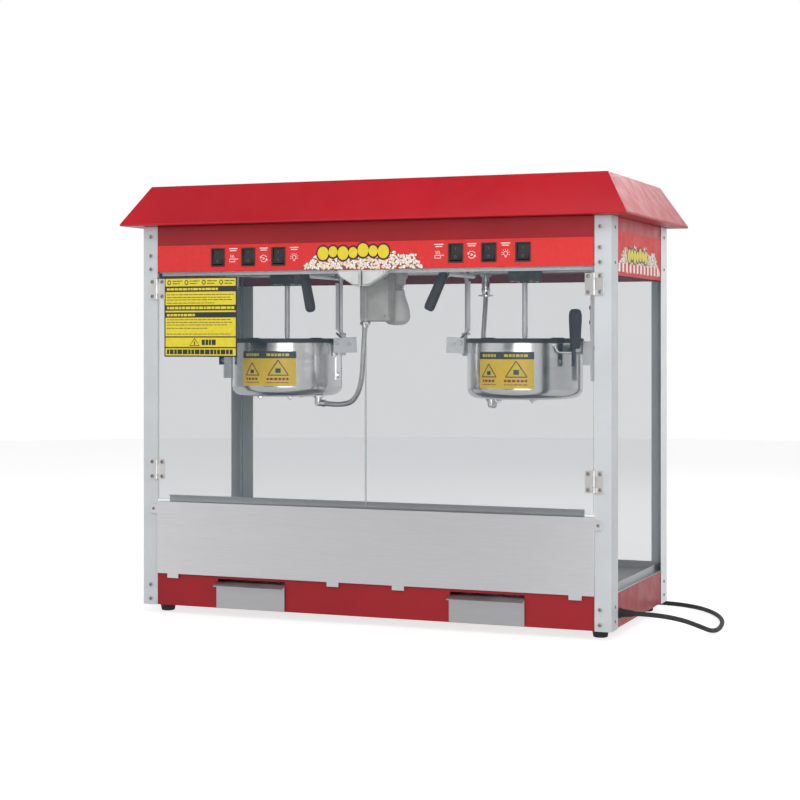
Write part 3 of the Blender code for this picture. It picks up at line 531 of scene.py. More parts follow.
def sweep(shape, path, radius_at, segments=16):
    """A round tube along a path. radius_at gives the radius at a distance along it."""
    heading = (path[1] - path[0]).normalized()
    across = heading.orthogonal().normalized()
    rings = []
    travelled = 0.0
    for number, point in enumerate(path):
        ahead = path[min(number + 1, len(path) - 1)] - path[max(number - 1, 0)]
        turn = heading.rotation_difference(ahead.normalized())
        heading = ahead.normalized()
        across = (turn @ across).normalized()
        other = heading.cross(across)
        if number:
            travelled += (point - path[number - 1]).length
        circle = arc((0, 0), radius_at(travelled), 0, 360 - 360 / segments, segments - 1)
        rings.append([shape.verts.new(point + x * across + y * other) for x, y in circle])
    faces = [shape.faces.new(rings[0]), shape.faces.new(rings[-1])]
    for below, above in zip(rings, rings[1:]):
        faces += bridge(shape, below, above)
    finish_faces(shape, faces, 0)


def perforated(shape, x, y, z, holes, edge=0.0):
    """A plate facing Y with rectangular holes, each given as its two ends along X and Z."""
    columns = sorted({*x, *(value for hole in holes for value in hole[0])})
    rows = sorted({*z, *(value for hole in holes for value in hole[1])})
    corners = {}
    faces = []
    for left, right in zip(columns, columns[1:]):
        for low, high in zip(rows, rows[1:]):
            middle = ((left + right) / 2, (low + high) / 2)
            if any(a[0] < middle[0] < a[1] and b[0] < middle[1] < b[1] for a, b in holes):
                continue
            cell = [(left, low), (right, low), (right, high), (left, high)]
            for point in cell:
                if point not in corners:
                    corners[point] = shape.verts.new((point[0], y[0], point[1]))
            faces.append(shape.faces.new([corners[point] for point in cell]))
    bmesh.ops.recalc_face_normals(shape, faces=faces)
    made = bmesh.ops.extrude_face_region(shape, geom=faces)["geom"]
    moved = [item for item in made if isinstance(item, bmesh.types.BMVert)]
    bmesh.ops.translate(shape, vec=(0, y[1] - y[0], 0), verts=moved)
    verts = [*corners.values(), *moved]
    finish_faces(shape, list({face for vert in verts for face in vert.link_faces}), 0)
    round_edges(shape, verts, edge)


def piece(name, shape, materials, body, replaces=(), sharp=35):
    """Makes an object of this shape that rides on a body, and that may stand for CAD nodes."""
    mesh = bpy.data.meshes.new(name)
    shape.to_mesh(mesh)
    shape.free()
    for material in materials:
        mesh.materials.append(LOOKS[material])
    mesh.shade_smooth()
    mesh.set_sharp_from_angle(angle=math.radians(sharp))
    made = bpy.data.objects.new(name, mesh)
    bpy.context.scene.collection.objects.link(made)
    normals = made.modifiers.new("face_normals", "WEIGHTED_NORMAL")
    normals.keep_sharp = True
    if body:
        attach(made, body)
    if replaces:
        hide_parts(*replaces)
    return made


# ---- camera, light and floor


def make_camera():
    data = bpy.data.cameras.new("camera")
    data.lens = CAMERA_LENS
    data.sensor_width = 36.0
    data.shift_y = CAMERA_SHIFT_DOWN
    camera = bpy.data.objects.new("camera", data)
    camera.location = CAMERA_PLACE
    camera.rotation_euler = (math.radians(90), 0, math.radians(CAMERA_TURN))
    bpy.context.scene.collection.objects.link(camera)
    bpy.context.scene.camera = camera
    bpy.context.scene.view_settings.view_transform = "Standard"


def soft_light(name, place, aim, size, power):
    data = bpy.data.lights.new(name, "AREA")
    data.shape = "RECTANGLE"
    data.size, data.size_y = size
    data.energy = power
    light = bpy.data.objects.new(name, data)
    light.location = place
    light.rotation_euler = (Vector(aim) - Vector(place)).to_track_quat("-Z", "Y").to_euler()
    bpy.context.scene.collection.objects.link(light)


def make_studio():
    """A white studio: bands of light and dark to reflect in the steel, and a white sight line."""
    world = bpy.data.worlds.new("studio")
    bpy.context.scene.world = world
    world.use_nodes = True
    tree = world.node_tree
    place = new_node(tree, "TexCoord").outputs["Generated"]
    split = new_node(tree, "SeparateXYZ", Vector=place).outputs
    bands = new_node(tree, "ValToRGB", Fac=remap(tree, split["X"], -1.0, 1.0, 0.0, 1.0))
    ramp = bands.color_ramp
    ramp.elements[0].position, ramp.elements[1].position = STUDIO_BANDS[0][0], STUDIO_BANDS[-1][0]
    for position, _ in STUDIO_BANDS[1:-1]:
        ramp.elements.new(position)
    for element, (_, level) in zip(ramp.elements, STUDIO_BANDS):
        element.color = (level, level, level * 1.01, 1.0)
    strength = remap(tree, split["Z"], 0.15, 0.75, 1.02, 0.3)
    room = tree.nodes["Background"]
    feed(tree, room, Color=bands.outputs["Color"], Strength=strength)
    white = new_node(tree, "Background", Color=(1, 1, 1, 1))
    mix = new_node(tree, "MixShader", Fac=new_node(tree, "LightPath").outputs["Is Camera Ray"])
    for number, shown in enumerate((room, white), 1):
        tree.links.new(shown.outputs["Background"], mix.inputs[number])
    feed(tree, tree.nodes["World Output"], Surface=mix.outputs["Shader"])
    for name, place, size, power in STUDIO_LIGHTS:
        soft_light(f"{name}_light", place, (0.0, 0.0, 0.4), size, power)


def make_floor():
    """A round pale floor just under the feet. It lights the object less than it shows."""
    radius, thickness = 6.0, 0.02
    shape = new_shape()
    lathe(shape, [(radius, -thickness), (radius, -0.0002)], (0, 0, 0), Z_AXIS, 96)
    mesh = bpy.data.meshes.new("floor")
    shape.to_mesh(mesh)
    shape.free()
    look = Look("pale_floor", (0.42, 0.42, 0.42), 0.8, Emission_Color=(1, 1, 1, 1))
    sight = new_node(look.tree, "LightPath").outputs
    glow = new_node(look.tree, "Math")
    for number, (ray, strength) in enumerate((("Is Camera Ray", 0.75), ("Is Glossy Ray", 0.5))):
        seen = look.between(sight[ray], 0.0, strength, 0.0, 1.0)
        look.tree.links.new(seen, glow.inputs[number])
    look.set(Emission_Strength=glow.outputs[0])
    mesh.materials.append(look.material)
    floor = bpy.data.objects.new("floor", mesh)
    bpy.context.scene.collection.objects.link(floor)


# ---- CAD nodes that stay


def dress_cad():
    """Gives the CAD nodes that stay their finish, and rounds their folded edges a little."""
    # The fascia and the skirt take the darker copy of the red, which is painted shade.
    finishes = {"roof": "red", "front_fascia": "shaded_red", "upper_housing": "red", "base_shell": "shaded_red"}
    finishes |= {"floor_tray": "sheet", "sill_panel": "sill", "ceiling_plate": "ceiling"}
    for word, _ in SIDES:
        # The rear posts take the paler copy of the powder coat, which is painted light.
        finishes |= {f"post_front_{word}": "powder", f"post_rear_{word}": "brightened_rear_powder"}
        finishes |= {
            f"crumb_drawer_{word}": "sheet", f"agitator_{word}": "satin", f"gear_motor_{word}": "cast",
        }
    for name, finish in finishes.items():
        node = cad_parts[name]
        node.data.materials.clear()
        node.data.materials.append(LOOKS[finish])
        node.modifiers.new("weld", "WELD").merge_threshold = 0.00001
        bevel = node.modifiers.new("edge", "BEVEL")
        bevel.width = 0.0012 if name == "roof" else 0.0005
        bevel.segments = 2
        bevel.limit_method = "ANGLE"
        bevel.angle_limit = math.radians(40)
        bevel.harden_normals = True


# ---- cord, plug and gland


def coil_points():
    """Three turns: an outer and an inner one on the table, then one on top of them."""
    start = math.degrees(math.atan2(0.2465 - COIL_CENTRE[1], 0.3985 - COIL_CENTRE[0]))
    stops = (
        (14, COIL_OUTER, COIL_LOW), (325, COIL_OUTER, COIL_LOW), (362, COIL_INNER, COIL_LOW),
        (640, COIL_INNER, COIL_LOW), (684, COIL_INNER + 0.001, COIL_HIGH),
        (760, COIL_INNER + 0.001, COIL_HIGH), (1040, COIL_OUTER, COIL_HIGH),
        (1100, COIL_OUTER, COIL_HIGH),
    )
    points = []
    for (low, radius, height), (high, next_radius, next_height) in zip(stops, stops[1:]):
        steps = max(2, round((high - low) / 15))
        for number in range(steps):
            share = number / steps
            eased = share * share * (3 - 2 * share)
            angle = math.radians(start - low - share * (high - low))
            out = radius + eased * (next_radius - radius)
            up = height + eased * (next_height - height)
            points.append(
                (COIL_CENTRE[0] + out * math.cos(angle), COIL_CENTRE[1] + out * math.sin(angle), up)
            )
    return points


def mains_lead():
    """The lead as one curve, from the gland along the table and round the coil to its plug."""
    path = smooth_path([*CORD_ROUTE, *coil_points(), *PLUG_ROUTE], 0.005)
    curve = bpy.data.curves.new("mains_lead", "CURVE")
    curve.dimensions = "3D"
    curve.bevel_depth = CORD_RADIUS
    curve.bevel_resolution = 5
    curve.use_fill_caps = True
    spline = curve.splines.new("POLY")
    spline.points.add(len(path) - 1)
    for place, point in zip(spline.points, path):
        place.co = (*point, 1.0)
    spline.use_smooth = True
    curve.materials.append(LOOKS["rubber"])
    lead = bpy.data.objects.new("mains_lead", curve)
    bpy.context.scene.collection.objects.link(lead)
    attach(lead, "cabinet")
    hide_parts("power_cord", "cord_coil")
    plug = mains_plug()
    tie = coil_tie()


def mains_plug():
    """A two-pin moulded plug with a ribbed grip and a tapered relief, lying on the table."""
    shape = new_shape()
    body = mm(8, 0, 11.5, 2, 12.8, 5)
    body += repeated(5, 0.004, mm(12.8, 8, 11.8, 9, 11.8, 10, 12.8, 11))
    body += mm(12.8, 31.5, 11.8, 33.5, 8, 34)
    lathe(shape, body, (0.304, PLUG_Y, PLUG_Z), -X_AXIS, 48)
    relief = mm(4.5, 0, 5.2, 0.8)
    for ring in range(5):
        start, radius = 0.002 + 0.003 * ring, 0.0053 + 0.0004 * ring
        relief += [(radius, start), (radius, start + 0.0016), (radius - 0.0008, start + 0.002)]
        relief.append((radius - 0.0008, start + 0.0026))
    relief.append((0.007, 0.018))
    lathe(shape, relief, (0.321, PLUG_Y, PLUG_Z), -X_AXIS, 32)
    for offset in (-0.0065, 0.0065):
        pin = mm(2.2, 0, 2.2, 17.5, 1.5, 19.5, 0, 20)
        lathe(shape, pin, (0.2702, PLUG_Y + offset, PLUG_Z), -X_AXIS, 24, ink=1)
        sleeve = mm(2.4, 0, 2.4, 8, 2.2, 8.4)
        lathe(shape, sleeve, (0.2706, PLUG_Y + offset, PLUG_Z), -X_AXIS, 24)
    return piece("moulded_plug", shape, ["rubber", "nickel"], "cabinet", ["mains_plug"])


def coil_tie():
    """A nylon tie round the coil's three turns."""
    shape = new_shape()
    angle = math.radians(100)
    out = Vector((math.cos(angle), math.sin(angle), 0))
    centre = Vector((*COIL_CENTRE, 0))
    half, low, high = 0.0095, 0.0002, 0.0168
    middle = (COIL_OUTER + COIL_INNER) / 2
    corners = [(-half, low), (half, low), (half, high - 0.004), (half - 0.004, high)]
    corners += [(-half + 0.004, high), (-half, high - 0.004)]
    loop = [centre + out * (middle + across) + Z_AXIS * height for across, height in corners]
    core = sum(loop, Vector()) / len(loop)
    along = Z_AXIS.cross(out)
    rings = []
    for inset, shift in ((0.0, -0.002), (0.0, 0.002), (0.0009, 0.002), (0.0009, -0.002)):
        points = [point + (core - point).normalized() * inset + along * shift for point in loop]
        rings.append([shape.verts.new(point) for point in points])
    for first, second in zip(rings, (*rings[1:], rings[0])):
        bridge(shape, first, second)
    bmesh.ops.recalc_face_normals(shape, faces=shape.faces)
    return piece("coil_tie", shape, ["black"], "cabinet", sharp=20)


def lead_gland():
    """The ribbed strain relief where the lead leaves the skirt."""
    low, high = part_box("cord_gland")
    axis_y, axis_z = (low.y + high.y) / 2, (low.z + high.z) / 2
    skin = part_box("base_shell")[1].x + 0.0002
    shape = new_shape()
    lathe(shape, mm(8.6, 0, 9, 0.5, 9, 2, 8, 2.8), (skin, axis_y, axis_z), X_AXIS)
    length = high.x - skin
    relief = [(0.0076, 0.002)]
    count = 6
    for ring in range(count):
        share = ring / count
        radius = 0.0076 - 0.0022 * share
        start = 0.003 + (length - 0.004) * share
        relief += [(radius, start), (radius - 0.0001, start + 0.002)]
        relief += [(radius - 0.0011, start + 0.0025), (radius - 0.0011, start + 0.0032)]
    relief.append((0.0046, length))
    lathe(shape, relief, (skin, axis_y, axis_z), X_AXIS, 32)
    piece("strain_relief", shape, ["rubber"], "cabinet", ["cord_gland"])


# ---- cabinet pieces


def hinge_half(side, reach, depth, heights, knuckle_reach, knuckle_depth, knuckles, radius, screw_reach):
    """One leaf of a hinge, its knuckles and two screws. Reaches run outward from the pin's axis."""
    axis_x, axis_y = DOOR_AXIS
    shape = new_shape()
    block(shape, span(side, *(axis_x + end for end in reach)), depth, heights, 0.0004)
    for start, end in knuckles:
        ends = (axis_x + place for place in knuckle_reach)
        block(shape, span(side, *ends), knuckle_depth, (start, end), 0.0003)
        rod(shape, (side * axis_x, axis_y, start), (side * axis_x, axis_y, end), radius, 0.0003, 20)
    for height in about(sum(heights) / 2, 0.0135):
        screw(shape, (side * (axis_x + screw_reach), -0.2022, height), -Y_AXIS, 0.0036, 2)
    return shape


def hinges(word, side):
    """Each hinge is a leaf on the post, with the pin's ends, and a leaf on the door."""
    inks = ["nickel", "recess_shade_and_black_heads", "rusty"]
    for name in ("upper", "lower"):
        node = f"hinge_{word}_{name}"
        ends = [corner.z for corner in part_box(node)]
        height = sum(ends) / 2
        low, high = about(height, HINGE_HALF)
        under, over = about(height, HINGE_KNUCKLE + 0.0003)
        post = hinge_half(
            side, (0.0028, 0.0167), (-0.2022, -0.1998), about(height, HINGE_HALF + 0.0001),
            (0.0008, 0.0051), (-0.2032, -0.2008), ((low, under), (over, high)), 0.0027, 0.0103,
        )
        for end, turn in ((low, -Z_AXIS), (high, Z_AXIS)):
            base = (side * DOOR_AXIS[0], DOOR_AXIS[1], end - 0.0004 * turn.z)
            lathe(post, mm(1.9, 0, 1.9, 0.8, 1, 1.4, 0, 1.6), base, turn, 16)
        piece(f"{node}_post_leaf", post, inks, "cabinet")
        leaf = hinge_half(
            side, (-0.0165, -0.0033), (-0.2022, -0.2008), ends,
            (-0.0045, -0.0008), (-0.2032, -0.201), [about(height, HINGE_KNUCKLE)], 0.0026, -0.0106,
        )
        piece(f"{node}_leaf", leaf, inks, f"{word}_door", [node])


def glass_panes():
    """The doors and the fixed panes, each with ground edges."""
    panes = [(f"door_{word}", f"{word}_door", "Y") for word, _ in SIDES]
    panes += [(f"side_glass_{word}", "cabinet", "X") for word, _ in SIDES]
    panes.append(("rear_glass", "cabinet", "Y"))
    for node, body, facing in panes:
        low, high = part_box(node)
        shape = new_shape()
        block(shape, (low.x, high.x), (low.y, high.y), (low.z, high.z), 0.0006)
        slot = "XYZ".index(facing)
        for face in shape.faces:
            face.normal_update()
            face.material_index = 0 if abs(face.normal[slot]) > 0.9 else 1
        piece(f"{node}_pane", shape, ["pane", "edge"], body, [node])


def door_pull(word, side):
    """The milky pull at a door's upper inner corner."""
    node = f"door_pull_{word}"
    low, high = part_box(node)
    inner, outer = sorted((abs(low.x), abs(high.x)))
    outline = mirrored(side, [
        (inner, high.z), (outer, high.z), (outer, high.z - 0.0065), (outer - 0.0055, high.z - 0.0125),
        (inner + 0.013, low.z + 0.0008), (inner + 0.01, low.z), (inner, low.z),
    ])
    shape = new_shape()
    prism(shape, outline, "Y", low.y + 0.004, high.y, 0.0012, 1)
    x, z = side * (inner + outer) / 2, (low.z + high.z) / 2 + 0.002
    crest = [(x + 0.86 * (point[0] - x), z + 0.82 * (point[1] - z)) for point in outline]
    prism(shape, crest, "Y", low.y, low.y + 0.006, 0.0018)
    piece(f"{node}_moulding", shape, ["milky", "pull_rim"], f"{word}_door", [node])


def feet():
    for end in ("front", "rear"):
        for word, _ in SIDES:
            node = f"foot_{end}_{word}"
            low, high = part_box(node)
            centre = ((low.x + high.x) / 2, (low.y + high.y) / 2, 0)
            profile = mm(10.5, 0, 12.2, 0.8, 12.8, 3, 13.8, 9.5)
            profile += mm(14.9, 10.5, 15, 11.5, 15, 14.6, 14.6, 15)
            shape = new_shape()
            lathe(shape, profile, centre)
            piece(f"{node}_rubber", shape, ["rubber"], "cabinet", [node], 30)


def cabinet_screws():
    """Screws in the posts and in the sill's ears."""
    shape = new_shape()
    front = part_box("post_front_right")[0].y
    side_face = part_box("post_front_right")[1].x
    for _, side in SIDES:
        for height in (0.7, 0.665, 0.64, 0.053, 0.027):
            screw(shape, (side * 0.4315, front, height), -Y_AXIS, 0.0034)
            screw(shape, (side * 0.4315, -front, height), Y_AXIS, 0.0034)
        for height in (0.7, 0.64, 0.055, 0.03):
            for end in (-1, 1):
                screw(shape, (side * side_face, end * 0.176, height), side * X_AXIS, 0.003)
        screw(shape, (side * 0.4275, SILL[0].y, 0.1945), -Y_AXIS, 0.003)
    piece("cabinet_screws", shape, ["rusty", "recess_shade_and_black_heads"], "cabinet")


def ceiling_trim():
    """The folded strip that the doors close against, under the switch panel. Its near-white colour is
    painted light, standing in for light that the fascia keeps off it.
    """
    shape = new_shape()
    width = about(0, FASCIA[1].x - 0.001)
    low, high = PLATE[0].z - 0.0024, PLATE[0].z - 0.0003
    block(shape, width, (-0.1955, -0.178), (low, high), 0.0006)
    block(shape, width, (-0.1845, -0.183), (low - 0.0055, high), 0.0004)
    piece("ceiling_front_trim", shape, ["whitened_trim"], "cabinet")


def junction_box():
    """The wiring box: a ribbed lid, rounded corners and two lid screws."""
    low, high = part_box("junction_box")
    shape = new_shape()
    block(shape, (low.x, high.x), (low.y + 0.006, high.y), (low.z, high.z - 0.0002), 0.003)
    block(
        shape, (low.x + 0.001, high.x - 0.001), (low.y + 0.0012, low.y + 0.0065),
        (low.z + 0.001, high.z - 0.001), 0.0022,
    )
    for rib in range(3):
        start = low.x + 0.004 + 0.0055 * rib
        block(
            shape, (start, start + 0.0026), (low.y, low.y + 0.003), (low.z + 0.004, high.z - 0.005),
            0.0007, 2,
        )
    for height in (low.z + 0.01, high.z - 0.014):
        screw(shape, (high.x - 0.008, low.y + 0.0012, height), -Y_AXIS, 0.003)
    piece("wiring_box", shape, ["beige", "recess_shade_and_black_heads", "rib"], "cabinet", ["junction_box"])


def lamp():
    """A frosted reflector bulb in a porcelain holder under the ceiling."""
    low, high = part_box("warming_lamp")
    x, y = (low.x + high.x) / 2, (low.y + high.y) / 2
    shape = new_shape()
    profile = mm(0, 0, 8, 0.4, 14, 1.6, 19, 4.2, 22.8, 8.5)
    profile += mm(24.7, 14, 25, 20.5, 24, 28, 22, 36, 19, 45)
    profile += mm(16.2, 53, 15, 60, 14.8, 64)
    lathe(shape, profile, (x, y, low.z), segments=56)
    collar = [(0.0132, 0.063)]
    collar += repeated(4, 0.003, mm(13.8, 63.5, 12.8, 65))
    collar.append((0.0132, 0.076))
    lathe(shape, collar, (x, y, low.z), segments=40, ink=1)
    top = high.z - low.z
    holder = [(0.0155, 0.0745), (0.0168, 0.0755), (0.0168, 0.085), (0.02, 0.088), (0.02, top - 0.0003)]
    lathe(shape, holder, (x, y, low.z), segments=40, ink=2)
    piece(
        "frosted_lamp", shape, ["bulb", "zinc", "porcelain"], "cabinet",
        ["warming_lamp"],
    )


# ---- switches


def switch_middle(node):
    low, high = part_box(node)
    return (low.x + high.x) / 2


def switches():
    """Rocker switches: a bezel and a housing on the cabinet, and a paddle that turns."""
    bezels = new_shape()
    axis_z = SWITCH_AXIS[1]
    depth = (FACE_Y + 0.0006, FACE_Y + 0.026)
    for word, _ in SIDES:
        for use in SWITCH_USES:
            x = switch_middle(f"rocker_{use}_{word}")
            opening = (about(x, 0.0112), about(axis_z, 0.0142))
            frame_depth = (FACE_Y - 0.002, FACE_Y - 0.0003)
            perforated(bezels, about(x, 0.0139), frame_depth, about(axis_z, 0.017), [opening], 0.0005)
            for wall in (-1, 1):
                block(bezels, span(1, x + wall * 0.0109, x + wall * 0.0113), depth, about(axis_z, 0.014))
                block(bezels, opening[0], depth, span(1, axis_z + wall * 0.014, axis_z + wall * 0.0143))
            block(bezels, opening[0], (FACE_Y + 0.0245, FACE_Y + 0.026), opening[1])
            rocker_paddle(word, use, x)
    piece("switch_bezels", bezels, ["black"], "cabinet")


def rocker_paddle(word, use, x):
    """A dished paddle with a bar and a ring moulded on it, at rest on its off side."""
    half_z = 0.0134
    dish = [-1 + step / 4 for step in range(9)]
    outline = [(-0.0045 + 0.0023 * (1 - across * across), half_z * -across) for across in dish]
    outline += [(0.004, -half_z + 0.002), (0.006, 0.0), (0.004, half_z - 0.002)]
    shape = new_shape()
    prism(shape, outline, "X", -0.0104, 0.0104, 0.0007)
    block(shape, (-0.0006, 0.0006), (-0.0043, -0.0034), (0.0052, 0.0092), 0.0001, 1)
    ring = mm(2.3, 0, 2.3, 0.4, 1.6, 0.4, 1.6, 0)
    lathe(shape, ring, (0, -0.0033, -0.0072), (0, -1, -0.1), 20, ring=True, ink=1)
    place = Matrix.Translation((x, *SWITCH_AXIS)) @ Matrix.Rotation(math.radians(-8), 4, "X")
    bmesh.ops.transform(shape, matrix=place, verts=shape.verts)
    node = f"rocker_{use}_{word}"
    looks = ["black", "worn_mark"]
    piece(f"{node}_paddle", shape, looks, f"{word}_{use}_rocker", [node])


# ---- printed decoration


def stroke(shape, points, width, height, ink=0, closed=False):
    """A flat printed line of even width through (x, z) points, on a face looking along -Y."""
    count = len(points)
    flat = [Vector(point) for point in points]
    rails = []
    for number, point in enumerate(flat):
        before = flat[(number - 1) % count] if closed or number else point
        after = flat[(number + 1) % count] if closed or number < count - 1 else point
        along = (after - before).normalized()
        normal = Vector((-along.y, along.x)) * width / 2
        rails.append((point + normal, point - normal))
    for (a, b), (d, c) in zip(rails, rails[1:] + (rails[:1] if closed else [])):
        prism(shape, (a, b, c, d), "Y", *height, ink=ink)


def arc(centre, radius, start, end, steps):
    """Points along an arc, its angles in degrees."""
    angles = [math.radians(start + (end - start) * number / steps) for number in range(steps + 1)]
    return [(centre[0] + radius * math.cos(a), centre[1] + radius * math.sin(a)) for a in angles]


def heat_icon(shape, x, z, height):
    """A pan with three wisps of steam over it."""
    stroke(
        shape, [(x - 0.008, z), (x - 0.007, z - 0.005), (x + 0.003, z - 0.005), (x + 0.004, z)], 0.0012,
        height,
    )
    stroke(shape, [(x - 0.008, z), (x + 0.01, z)], 0.0012, height)
    for shift in (-0.005, -0.002, 0.001):
        wave = [(x + shift + 0.0008 * math.sin(step), z + 0.002 + 0.0012 * step) for step in range(6)]
        stroke(shape, wave, 0.0008, height)


def stir_icon(shape, x, z, height):
    """Two curved arrows chasing each other round a spindle."""
    for start in (20, 200):
        stroke(shape, arc((x, z), 0.0062, start, start + 130, 8), 0.0011, height)
        tip = math.radians(start + 142)
        out = Vector((math.cos(tip), math.sin(tip)))
        ahead = Vector((-out.y, out.x))
        middle = Vector((x, z)) + 0.0062 * out
        back = middle - 0.0014 * ahead
        prism(shape, (middle + 0.0026 * ahead, back + 0.0024 * out, back - 0.0024 * out), "Y", *height)
    stroke(shape, arc((x, z), 0.0014, 0, 330, 8), 0.0012, height, closed=True)


def light_icon(shape, x, z, height):
    """A lamp bulb with short rays."""
    stroke(shape, arc((x, z + 0.001), 0.0036, -55, 235, 12), 0.001, height)
    for level in (-0.003, -0.0048):
        stroke(shape, [(x - 0.0018, z + level), (x + 0.0018, z + level)], 0.001, height)
    for angle in range(-15, 200, 35):
        out = Vector((math.cos(math.radians(angle)), math.sin(math.radians(angle))))
        middle = Vector((x, z + 0.001))
        stroke(shape, [middle + 0.0055 * out, middle + 0.008 * out], 0.0009, height)


def switch_icons():
    """White symbols beside the switches, on the same side of each switch in a group."""
    shape = new_shape()
    height = (FACE_Y - 0.0007, FACE_Y - 0.0005)
    symbols = {"heat": heat_icon, "stir": stir_icon, "light": light_icon}
    for word, side in SIDES:
        for use, draw in symbols.items():
            x = switch_middle(f"rocker_{use}_{word}") - side * 0.0315
            draw(shape, x, SYMBOL_Z, height)
            for row, width in enumerate((0.0085, 0.0065)):
                level = CAPTION_Z - 0.0036 * row
                stroke(shape, [(x - width, level), (x + width, level)], 0.0016, height)
    piece("switch_symbols", shape, ["mark"], "cabinet", sharp=20)


def label_band():
    """The bright vinyl band along the switch panel, cut out round the switches."""
    shape = new_shape()
    nodes = [f"rocker_{use}_{word}" for word, _ in SIDES for use in SWITCH_USES]
    holes = [(about(x, 0.0128), about(SWITCH_AXIS[1], 0.0158)) for x in map(switch_middle, nodes)]
    depth, heights = (FACE_Y - 0.0005, FACE_Y - 0.0001), (FASCIA[0].z + 0.0004, BAND_TOP)
    perforated(shape, about(0, FASCIA[1].x - 0.0003), depth, heights, holes)
    piece("panel_band", shape, ["band"], "cabinet")


def dab(shape, centre, radius, height, rng, ink):
    """One low rounded lobe of a printed kernel, on a face looking along -Y."""
    count = 9
    start = rng.random() * math.tau
    stretch = rng.uniform(0.8, 1.2)
    ring, crest = [], []
    for number in range(count):
        angle = start + math.tau * number / count
        reach = radius * (1 + 0.1 * math.sin(3 * angle + start))
        x, z = reach * stretch * math.cos(angle), reach * math.sin(angle) / stretch
        ring.append(shape.verts.new((centre[0] + x, centre[1], centre[2] + z)))
        crest.append(shape.verts.new((centre[0] + 0.72 * x, centre[1] - height, centre[2] + 0.72 * z)))
    faces = [shape.faces.new(ring), shape.faces.new(crest), *bridge(shape, ring, crest)]
    finish_faces(shape, faces, ink)


def kernel(shape, x, z, size, rng):
    """A popped kernel: a brown shadow, a few cream and white lobes and a speck of husk."""
    face = -0.0001
    dab(shape, (x, face, z), size * 0.95, 0.00012, rng, 3)
    for _ in range(4):
        angle = rng.random() * math.tau
        reach = size * rng.uniform(0.25, 0.55)
        place = (x + reach * math.cos(angle), face, z + reach * math.sin(angle))
        dab(
            shape, place, size * rng.uniform(0.38, 0.54), rng.uniform(0.0002, 0.0004), rng,
            rng.choice((0, 0, 1, 1)),
        )
    speck = (x + size * rng.uniform(-0.3, 0.3), face, z + size * rng.uniform(-0.3, 0.3))
    dab(shape, speck, size * 0.16, 0.00045, rng, rng.choice((2, 3)))


def printed_blob(shape, centre, radius, height, ink):
    """A plain rounded patch, a little taller than wide, on a face looking along -Y."""
    outline = [(x, centre[1] + 1.12 * (z - centre[1])) for x, z in arc(centre, radius, 0, 345, 23)]
    prism(shape, outline, "Y", *height, ink=ink)


def popcorn_print(half_width, top, seed, stripes=False):
    """A printed heap of popcorn under a wavy row of yellow blobs, in a flat local frame.

    X runs across the heap and Z up from its foot. It looks along -Y.
    """
    shape = new_shape()
    rng = random.Random(seed)
    columns = int(2 * half_width / KERNEL_SPACING)
    for column in range(columns + 1):
        x = -half_width + column * KERNEL_SPACING
        share = abs(x) / half_width
        limit = top * (1 - share**6) * (0.88 + 0.12 * math.sin(90 * x + seed)) + 0.004
        rows = max(1, int(limit / KERNEL_ROW))
        for row in range(rows):
            z = 0.004 + KERNEL_ROW * row
            kernel(
                shape, x + rng.uniform(-0.002, 0.002), z + rng.uniform(-0.0012, 0.0012), KERNEL_SIZE, rng,
            )
    for number in range(7):
        x = -0.077 + 0.0195 * number
        place = (x, BLOB_RISE + 0.0022 * math.sin(1.9 * number) + 0.03 * x)
        radius = 0.0128 + 0.001 * (-1) ** number
        printed_blob(shape, place, radius, (-0.00072, -0.0006), 4)
        printed_blob(shape, place, radius - 0.003, (-0.00084, -0.0007), 5)
    if stripes:
        width = 0.0125
        for number in range(int(2 * half_width / width)):
            left = -half_width + width * number
            block(shape, (left, left + width), (-0.00072, -0.0006), (0.0, 0.015), ink=1 + 5 * (number % 2))
    return shape


def popcorn_art():
    """The printed heaps on the switch panel and on both side aprons."""
    inks = ["cream", "pale", "tan", "shadow", "plum", "yellow", "band"]
    shape = popcorn_print(0.113, 0.034, 5)
    bmesh.ops.translate(shape, vec=(-0.005, FACE_Y - 0.0004, FASCIA[0].z + 0.0005), verts=shape.verts)
    piece("panel_popcorn_print", shape, inks, "cabinet", sharp=20)
    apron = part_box("upper_housing")
    for word, side in SIDES:
        shape = popcorn_print(0.15, 0.044, 11, stripes=True)
        turn = Matrix.Rotation(side * math.radians(90), 4, "Z")
        place = Matrix.Translation((side * (apron[1].x + 0.0004), 0.0, 0.626))
        bmesh.ops.transform(shape, matrix=place @ turn, verts=shape.verts)
        piece(f"apron_popcorn_print_{word}", shape, inks, "cabinet", sharp=20)


def apron_band(word, side):
    """The bright vinyl on a side apron, between the posts."""
    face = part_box("upper_housing")[1].x
    shape = new_shape()
    block(
        shape, span(side, face + 0.0001, face + 0.0004), about(0, APRON_HALF),
        (APRON_FOOT, BAND_TOP + 0.012),
    )
    piece(f"apron_band_{word}", shape, ["band"], "cabinet")


def bars(shape, left, right, level, height, thick, rng, ink):
    """A row of short printed bars, in place of a line of words."""
    x = left
    while x < right - 0.002:
        width = min(rng.uniform(0.004, 0.011), right - x)
        stroke(shape, [(x, level), (x + width, level)], thick, height, ink)
        x += width + 0.0014


